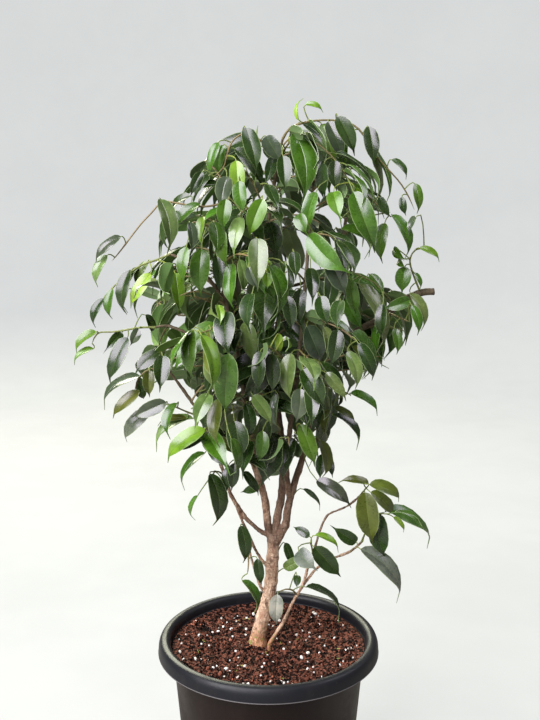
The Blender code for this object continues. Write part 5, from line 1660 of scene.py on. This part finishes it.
@dataclass
class LeafKit:
    """The patterns and finishes that every twig and leaf is laid with."""

    twig: RodPattern = field(default_factory=lambda: RodPattern(7, 26))
    stalk: RodPattern = field(default_factory=lambda: RodPattern(5, 4))
    blade: BladePattern = field(default_factory=BladePattern)
    finishes: list[Material] = field(default_factory=lambda: [BladeFinish().build(), TwigFinish().build()])
    stalk_radii: Pair = (0.60 * MM, 0.42 * MM)
    shade: Pair = (0.8, 1.25)
    hue: Pair = (0.92, 1.08)
    aim: float = 0.08
    stalk_steps: int = 8
    stalk_overlap: float = 0.6 * MM
    stalk_bend: float = 0.35
    stalk_rise: float = 0.12
    twig_taper: float = 0.33
    collar: float = 0.40
    collar_fall: float = 16.0
    node: float = 0.16
    node_length: float = 1.4 * MM
    bud: Triple = (0.9, 0.6, 0.12)
    young_stalk: Rgb = (0.30, 0.38, 0.06)
    old_stalk: Rgb = (0.20, 0.27, 0.06)

    def lay_leaf(self, heap: Gathering, leaf: LeafPlace) -> None:
        """Lay a leaf's blade and stalk.

        Args:
            heap: what it is laid into.
            leaf: the leaf.
        """
        draw = random.Random(f"tint {leaf.chance}")
        shade = draw.uniform(*self.shade)
        tint = tuple(part * shade * draw.uniform(*self.hue) for part in leaf.tone.value[0])
        heap.lay(self.blade.shape, self.blade.bent(leaf), 0, self.blade.chart(), tint, self.blade.look(leaf))
        reach = (leaf.base - leaf.root).length
        ahead = (leaf.midrib(self.aim) - leaf.base).normalized()
        end = leaf.base + ahead * self.stalk_overlap
        bend = leaf.base - ahead * reach * self.stalk_bend + Vector((0, 0, reach * self.stalk_rise))
        path = []
        for share in (count / self.stalk_steps for count in range(self.stalk_steps + 1)):
            path.append(leaf.root * (1 - share)**2 + bend * 2 * share * (1 - share) + end * share**2)
        radii = np.linspace(*self.stalk_radii, self.stalk.segments + 1)
        green = self.young_stalk if leaf.tone in (Tone.YOUNG, Tone.FRESH) else self.old_stalk
        heap.lay(self.stalk.shape, self.stalk.bent(path, radii), 1, tint=green)

    def lay_twig(self, heap: Gathering, path: list[Vector], leaves: list[LeafPlace], thick: float,
                 bark: Rgb) -> None:
        """Lay a twig with its leaves: a collar at its foot, a swollen node at each leaf and a pointed bud.

        Args:
            heap: what it is laid into.
            path: its centre line.
            leaves: the leaves that it carries.
            thick: its radius at the foot, in mm.
            bark: its colour.
        """
        rings = self.twig.segments + 1
        share = np.linspace(0.0, 1.0, rings)
        radii = thick * (1.0 - self.twig_taper * share) + self.collar * np.exp(-share * self.collar_fall)
        line = resampled(path, rings)
        for leaf in leaves:
            gaps = np.linalg.norm(line - np.array(leaf.root), axis=1)
            radii += self.node * np.exp(-(gaps / self.node_length)**2)
        radii[-3:] *= self.bud
        heap.lay(self.twig.shape, self.twig.bent(path, radii * MM), 1, tint=bark)
        for leaf in leaves:
            self.lay_leaf(heap, leaf)


@dataclass
class LeafyShoot:
    """One slender twig with its stalked leaves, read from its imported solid."""

    number: int
    route: tuple[Triple, ...]
    path: list[Vector] = field(init=False)
    leaves: list[LeafPlace] = field(init=False)

    def __post_init__(self) -> None:
        """Read the shoot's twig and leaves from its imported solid."""
        solid = frame["nodes"][f"leafy_shoot_{self.number:02d}"]
        self.path = self.own_path(read_all(solid.data.vertices, "co", 3))
        self.leaves = leaves_of(solid)
        for index, leaf in enumerate(self.leaves):
            draw = random.Random(f"leaf {self.number} {index}")
            leaf.chance = draw.random()
            leaf.fold = draw.uniform(*LEAF_FOLDS)
            leaf.twist = draw.uniform(-LEAF_TWIST, LEAF_TWIST) * 0.5
            leaf.root = self.root_of(leaf)
            leaf.tone = self.tone_of(leaf, draw)

    def own_path(self, corners: np.ndarray) -> list[Vector]:
        """Find the centre line whose end the solid's own twig has.

        Args:
            corners: the solid's points, as rows.

        Returns:
            Points of the centre line.
        """
        for variant in range(ROUTE_VARIANTS):
            path = shoot_path(self.number, self.route, variant)
            gaps = np.linalg.norm(corners - np.array(tuple(path[-1])), axis=1)
            if np.count_nonzero(np.abs(gaps - TWIG_END_RADIUS) < TWIG_END_MISS) >= 3:
                return path
        return shoot_path(self.number, self.route, 0)

    def root_of(self, leaf: LeafPlace) -> Vector:
        """Find the point of the twig that a leaf's stalk comes from.

        Args:
            leaf: the leaf, with the direction of its packed stalk.

        Returns:
            The point.
        """
        back = (leaf.root - leaf.base).normalized()

        def miss(point: Vector) -> float:
            """Return how badly a point fits the direction back along the stalk."""
            arm = point - leaf.base
            reach = arm.dot(back)
            return (arm - back * reach).length + (0.0 if reach > 0 else 10 * MM) + 0.08 * arm.length

        return min(self.path[1:], key=miss).copy()

    @staticmethod
    def tone_of(leaf: LeafPlace, draw: random.Random) -> Tone:
        """Find the tone marked for a leaf's tip, or draw one.

        Args:
            leaf: the leaf.
            draw: source of chance.

        Returns:
            The tone.
        """
        across, up = reading(leaf.tip)
        near = [(math.hypot(across - x, up - z), tone) for tone, tips in TIP_TONES.items() for x, z in tips]
        miss, tone = min(near, key=lambda pair: pair[0])
        if miss < TIP_MISS:
            return tone
        tone = likely_tone(leaf.tip, draw)
        return Tone.MID if tone is Tone.FRESH else tone

    def build(self, kit: LeafKit) -> None:
        """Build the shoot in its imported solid's place.

        Args:
            kit: the patterns that it is laid with.
        """
        heap = Gathering()
        young = self.number in YOUNG_SHOOTS
        bark = YOUNG_BARK if young else random.Random(self.number).choice(TWIG_TINTS)
        kit.lay_twig(heap, self.path, self.leaves, SHOOT_TWIG_RADIUS, bark)
        piece = heap.piece(f"shoot_{self.number:02d}", kit.finishes)
        set_down(piece, "leaf_young_green" if young else "leaf_green", f"leafy_shoot_{self.number:02d}")


def lay_low_leaves(kit: LeafKit) -> None:
    """Build the small leaves that grow on the trunk and the limbs, low on the plant.

    Args:
        kit: the patterns that they are laid with.
    """
    heap = Gathering()
    for number, (root, base, tip, facing, width, tone) in enumerate(LOW_LEAVES):
        root, base, tip = (sighted(*place) for place in (root, base, tip))
        along = (tip - base).normalized()
        top = (Vector(facing) - along * along.dot(Vector(facing))).normalized()
        leaf = LeafPlace(root, base, tip, top, width * MM, (tip - base).length * 0.13, tone)
        leaf.chance = random.Random(f"low leaf {number}").random()
        kit.lay_leaf(heap, leaf)
    set_down(heap.piece("low_leaves", kit.finishes), "leaf_green")


def inside_outline(point: Vector) -> bool:
    """Say whether a point is seen inside the crown's outline and out of its open gaps.

    Args:
        point: the point.

    Returns:
        True if it is.
    """
    across, up = reading(point)
    inside = False
    for (ax, az), (bx, bz) in zip(CROWN_OUTLINE, CROWN_OUTLINE[1:] + CROWN_OUTLINE[:1]):
        if (az > up) != (bz > up) and across < ax + (up - az) / (bz - az) * (bx - ax):
            inside = not inside
    return inside and all(math.hypot(across - x, up - z) >= radius + GAP_MARGIN
                          for x, z, radius in CROWN_GAPS)


@dataclass
class Thicket:
    """What stands in the crown already: new leaves and sprays keep clear of it and of the view."""

    leaves: list[LeafPlace]
    mark_depth: float = 2.5 * MM
    near_across: float = 45.0 * MM
    near_depth: float = 30.0 * MM
    mark_gap: float = 1.0 * MM
    packed: BVHTree = field(init=False)
    marks: np.ndarray = field(init=False)
    boxes: list[np.ndarray] = field(default_factory=list)
    trees: list[BVHTree] = field(default_factory=list)

    def __post_init__(self) -> None:
        """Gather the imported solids, and the marks of their leaves that the point of view sees."""
        points, faces = [], []
        for solid in frame["nodes"].values():
            first = len(points)
            points += [vert.co.copy() for vert in solid.data.vertices]
            faces += [tuple(first + index for index in face.vertices) for face in solid.data.polygons]
        self.packed = BVHTree.FromPolygons(points, faces)
        seen = []
        for leaf in self.leaves:
            for share, offset in VIEW_MARKS:
                mark = leaf.midrib(share) + leaf.side() * leaf.width * offset
                sight = mark - EYE
                hit = self.packed.ray_cast(EYE, sight.normalized(), sight.length + 0.05)[0]
                if hit is None or (hit - EYE).length > sight.length - self.mark_depth:
                    seen.append(mark)
        self.marks = as_rows(seen)

    def take(self, points: list[Vector], faces: list[tuple[int, ...]], leaf: LeafPlace | None = None) -> bool:
        """Add a form if it touches nothing that stands already and, for a leaf, hides no mark.

        Args:
            points: the form's points.
            faces: its faces.
            leaf: the leaf that it is.

        Returns:
            True if it was added.
        """
        tree = BVHTree.FromPolygons(points, faces)
        rows = as_rows(points)
        low, high = rows.min(axis=0), rows.max(axis=0)
        if self.trees:
            near = np.all(np.array(self.boxes) <= (*high, *-low), axis=1)
            if any(tree.overlap(self.trees[index]) for index in np.flatnonzero(near)):
                return False
        if tree.overlap(self.packed) or (leaf is not None and self.hides(leaf, tree)):
            return False
        self.boxes.append(np.array((*low, *-high)))
        self.trees.append(tree)
        return True

    def hides(self, leaf: LeafPlace, tree: BVHTree) -> bool:
        """Say whether a leaf stands before a marked point of a blade that the point of view sees.

        Args:
            leaf: the leaf.
            tree: its form.

        Returns:
            True if it does.
        """
        sight = leaf.midrib(0.5) - EYE
        ways = self.marks - np.array(tuple(EYE))
        off = np.linalg.norm(np.cross(ways, np.array(tuple(sight.normalized()))), axis=1)
        near = (off < self.near_across) & (np.linalg.norm(ways, axis=1) > sight.length - self.near_depth)
        for mark in self.marks[near]:
            way = Vector(mark) - EYE
            if tree.ray_cast(EYE, way.normalized(), way.length - self.mark_gap)[0] is not None:
                return True
        return False


@dataclass
class CrownFiller:
    """Leaves placed by rule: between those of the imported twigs, and on small sprays off the limbs."""

    thicket: Thicket
    stalk: Pair = (5.0, 10.0)
    length: Pair = (31.0, 56.0)
    slimness: Pair = (0.36, 0.45)
    arch: Pair = (0.06, 0.17)
    droop: Pair = (0.8, 1.9)
    shake: float = 0.4
    depth_middle: float = 10.0 * MM
    probes: tuple[float, ...] = (0.0, 0.35, 0.7, 1.0)
    clearance: float = 0.5 * MM
    twig_steps: int = 20
    twig_tries: int = 22
    spray_steps: int = 9
    spray_tries: int = 12
    spray_starts: int = 3
    spray_step: Pair = (12.0, 22.0)
    spray_droop: float = 0.26
    spray_sway: float = 0.15
    spray_outward: float = 0.6
    spray_ahead: Pair = (0.3, 1.0)
    ribbon: tuple[Triple, ...] = (
        (0.0, 0.0, 1.0 * MM), (0.8 * MM, 0.0, -0.8 * MM), (-0.8 * MM, 0.0, -0.8 * MM))

    def leaf(self, root: Vector, heading: Vector, hand: int, draw: random.Random) -> LeafPlace:
        """Make a leaf that springs from a twig and hangs, its face outward and up.

        Args:
            root: the point of the twig that it springs from.
            heading: the twig's direction there.
            hand: which side of the twig, 1 or -1.
            draw: source of chance.

        Returns:
            The leaf.
        """
        outward = Vector((root.x, root.y - self.depth_middle, 0.0)).normalized()
        across = heading.cross(UP)
        across = across.normalized() if across.length > 0.2 else outward.cross(UP)
        shake = Vector((draw.gauss(0, 1), draw.gauss(0, 1), draw.gauss(0, 1))) * self.shake
        stalk = (across * hand * 0.9 + heading * 0.5 + outward * 0.25 + shake).normalized()
        base = root + stalk * draw.uniform(*self.stalk) * MM
        droop = Vector((0.0, 0.0, -draw.uniform(*self.droop)))
        along = (stalk * 0.7 + outward * 0.3 + droop + heading * 0.2 + shake.zxy).normalized()
        size = draw.uniform(*self.length) * MM
        facing = outward * 0.9 + Vector((0.0, 0.0, 0.5)) + shake.yzx * 1.3
        top = (facing - along * facing.dot(along)).normalized()
        made = LeafPlace(root.copy(), base, base + along * size, top, size * draw.uniform(*self.slimness),
                         size * draw.uniform(*self.arch))
        made.chance = draw.random()
        made.fold = draw.uniform(*LEAF_FOLDS)
        made.twist = draw.uniform(-LEAF_TWIST, LEAF_TWIST)
        made.tone = likely_tone(made.tip, draw)
        return made

    @staticmethod
    def in_box(point: Vector) -> bool:
        """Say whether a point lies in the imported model's box."""
        low, high = CAD_BOX
        return all(low[axis] + BOX_MARGIN < point[axis] < high[axis] - BOX_MARGIN for axis in range(3))

    def try_leaf(self, leaf: LeafPlace) -> bool:
        """Add a leaf to the crown if it fits inside the outline, the box and what stands there.

        Args:
            leaf: the leaf.

        Returns:
            True if it fits.
        """
        for share in self.probes:
            point, edge = leaf.midrib(share), leaf.side() * leaf.width / 2
            if not (inside_outline(point) and self.in_box(point - edge) and self.in_box(point + edge)):
                return False
        lower, upper = leaf.sheet(-self.clearance), leaf.sheet(self.clearance)
        faces = [tuple(first + index for index in face) for first in (0, len(lower)) for face in SHEET_FACES]
        return self.thicket.take(lower + upper, faces, leaf)

    def fill_twig(self, path: list[Vector], steps: int, tries: int, name: str) -> list[LeafPlace]:
        """Fit leaves along a twig.

        Args:
            path: the twig's centre line.
            steps: how many places along it are tried.
            tries: how many leaves are tried at each.
            name: name of its source of chance.

        Returns:
            The leaves that fit.
        """
        draw = random.Random(name)
        line = [Vector(row) for row in resampled(path, steps * 2 + 1)]
        made = []
        for order in range(steps):
            index = 2 * order + 2
            heading = (line[index] - line[index - 2]).normalized()
            for _ in range(tries):
                leaf = self.leaf(line[index], heading, 1 if order % 2 else -1, draw)
                if self.try_leaf(leaf):
                    made.append(leaf)
                    break
        return made

    def spray_path(self, start: Vector, limb: Vector, draw: random.Random) -> list[Vector]:
        """Return the path of a spray: off the limb, outward and up, then over and down.

        Args:
            start: the limb's point that it springs from.
            limb: the limb's direction there.
            draw: source of chance.

        Returns:
            Points of the path.
        """
        angle = draw.uniform(0.0, math.tau)
        outward = Vector((math.cos(angle), math.sin(angle), 0.0))
        outward = (outward + Vector((start.x, start.y, 0.0)).normalized() * self.spray_outward).normalized()
        heading = (outward + limb * draw.uniform(*self.spray_ahead)).normalized()
        points, step = [start], draw.uniform(*self.spray_step) * MM
        for _ in range(draw.randint(3, 4)):
            points.append(points[-1] + heading * step)
            sway = Vector((draw.gauss(0, self.spray_sway), draw.gauss(0, self.spray_sway), -self.spray_droop))
            heading = (heading + sway).normalized()
        return smooth_path(points, 5 * MM)

    def sprays(self, limb: list[Vector], name: str) -> list[tuple[list[Vector], list[LeafPlace]]]:
        """Grow small leafy sprays along a limb.

        Args:
            limb: the limb's centre line.
            name: name of its source of chance.

        Returns:
            Path and leaves of each spray that carries leaves.
        """
        draw = random.Random(name)
        grown = []
        line = [Vector(row) for row in resampled(limb, max(4, len(limb) // 2))]
        for start, following in zip(line, line[1:]):
            if start.z < SPRAY_LEVEL:
                continue
            for _ in range(self.spray_starts):
                path = self.spray_path(start, (following - start).normalized(), draw)
                if not all(inside_outline(point) and self.in_box(point) for point in path[2:]):
                    continue
                ribbon = [point + Vector(shift) for point in path[2:] for shift in self.ribbon]
                faces = [(index + side, index + side + 1, index + side + 4, index + side + 3)
                         for side in (0, 1) for index in range(0, len(ribbon) - 5, 3)]
                if not self.thicket.take(ribbon, faces):
                    continue
                leaves = self.fill_twig(path, self.spray_steps, self.spray_tries, f"{name} {len(grown)}")
                if leaves:
                    grown.append((path, leaves))
                break
        return grown

    def fill(self, shoots: list[LeafyShoot], trunk: Stems, kit: LeafKit) -> None:
        """Add leaves to the shoots of the crown, and build the sprays of each limb as one piece.

        Args:
            shoots: the leafy shoots.
            trunk: the trunk with its limbs.
            kit: the patterns that the sprays are laid with.
        """
        for shoot in shoots[:FIRST_LOW_SHOOT - 1]:
            shoot.leaves += self.fill_twig(shoot.path[2:], self.twig_steps, self.twig_tries,
                                           f"fill {shoot.number}")
        for index in range(1, len(trunk.routes)):
            heap = Gathering()
            for path, leaves in self.sprays(trunk.path(index), f"sprays {index}"):
                kit.lay_twig(heap, path, leaves, SPRAY_TWIG_RADIUS, TWIG_TINTS[index % len(TWIG_TINTS)])
            if heap.laid:
                set_down(heap.piece(f"inner_sprays_{index:02d}", kit.finishes), "leaf_green")


@dataclass
class Studio:
    """Pale floor that rises into a wall all round, soft lights and the camera."""

    radius: float = 3.2
    sweep: float = 1.3
    sweep_steps: int = 12
    floor_steps: int = 96
    height: float = 3.4
    aim: Triple = (0.0, 0.0, 0.38)
    lamps: tuple[tuple[str, Triple, float, float, Rgb], ...] = (
        ("key_light", (-1.15, -1.30, 1.65), 2.1, 134.0, (0.99, 0.97, 1.0)),
        ("right_light", (1.3, 0.1, 1.7), 0.9, 12.0, (0.95, 0.93, 1.0)),
        ("back_light", (-0.6, 1.7, 1.5), 1.3, 58.0, (1.0, 1.0, 0.78)))
    air_colour: Rgb = (0.92, 0.95, 1.0)
    air_strength: float = 0.15
    lens: float = 45.0
    sensor: float = 36.0
    tilt: float = 8.93

    def floor(self) -> None:
        """Build the floor and wall, one seamless sheet."""
        middle = self.radius - self.sweep
        profile = [(0.0, 0.0), (middle, 0.0)]
        for count in range(1, self.sweep_steps + 1):
            angle = math.pi / 2 * count / self.sweep_steps
            profile.append((middle + self.sweep * math.sin(angle), self.sweep - self.sweep * math.cos(angle)))
        profile.append((self.radius, self.height))
        made = turned_form("studio_floor", profile, self.floor_steps, StageFinish().build())
        made.data.flip_normals()

    def build(self) -> None:
        """Build the stage, hang the square soft lights and place the camera."""
        self.floor()
        scene = bpy.context.scene
        for name, place, size, power, colour in self.lamps:
            light = bpy.data.lights.new(name, "AREA")
            light.shape, light.size, light.energy, light.color = "SQUARE", size, power, colour
            lamp = bpy.data.objects.new(name, light)
            lamp.location = place
            lamp.rotation_euler = (Vector(self.aim) - Vector(place)).to_track_quat("-Z", "Y").to_euler()
            scene.collection.objects.link(lamp)
        scene.view_settings.view_transform = "Standard"
        scene.world = bpy.data.worlds.new("studio_air")
        scene.world.use_nodes = True
        air = scene.world.node_tree.nodes["Background"]
        air.inputs["Color"].default_value = (*self.air_colour, 1.0)
        air.inputs["Strength"].default_value = self.air_strength
        view = bpy.data.cameras.new("camera")
        view.lens, view.sensor_width = self.lens, self.sensor
        camera = bpy.data.objects.new("camera", view)
        camera.location = EYE
        camera.rotation_euler = (math.radians(90.0 - self.tilt), 0.0, 0.0)
        scene.collection.objects.link(camera)
        scene.camera = camera


def main() -> None:
    """Build the plant and its studio."""
    logging.basicConfig(level=logging.INFO, format="%(name)s %(message)s")
    NurseryPot().build()
    PottingMix().build()
    bark = BarkFinish().build()
    trunk = Stems("trunk_and_limbs_bark", "trunk_and_limbs", "bark", TRUNK_ROUTES, bark)
    trunk.build()
    Stems("side_stem_bark", "side_stem", "young_bark", SIDE_STEM_ROUTES, bark, voxel=0.55 * MM, knots=0.14,
          flare=1.1, slimming=0.78).build()
    kit = LeafKit()
    shoots = [LeafyShoot(number, route) for number, route in enumerate(TWIG_ROUTES, start=1)]
    thicket = Thicket([leaf for shoot in shoots for leaf in shoot.leaves])
    CrownFiller(thicket).fill(shoots, trunk, kit)
    lay_low_leaves(kit)
    LOG.info("leaves %d", sum(len(shoot.leaves) for shoot in shoots))
    for shoot in shoots:
        shoot.build(kit)
    Studio().build()


if __name__ == "__main__":
    main()
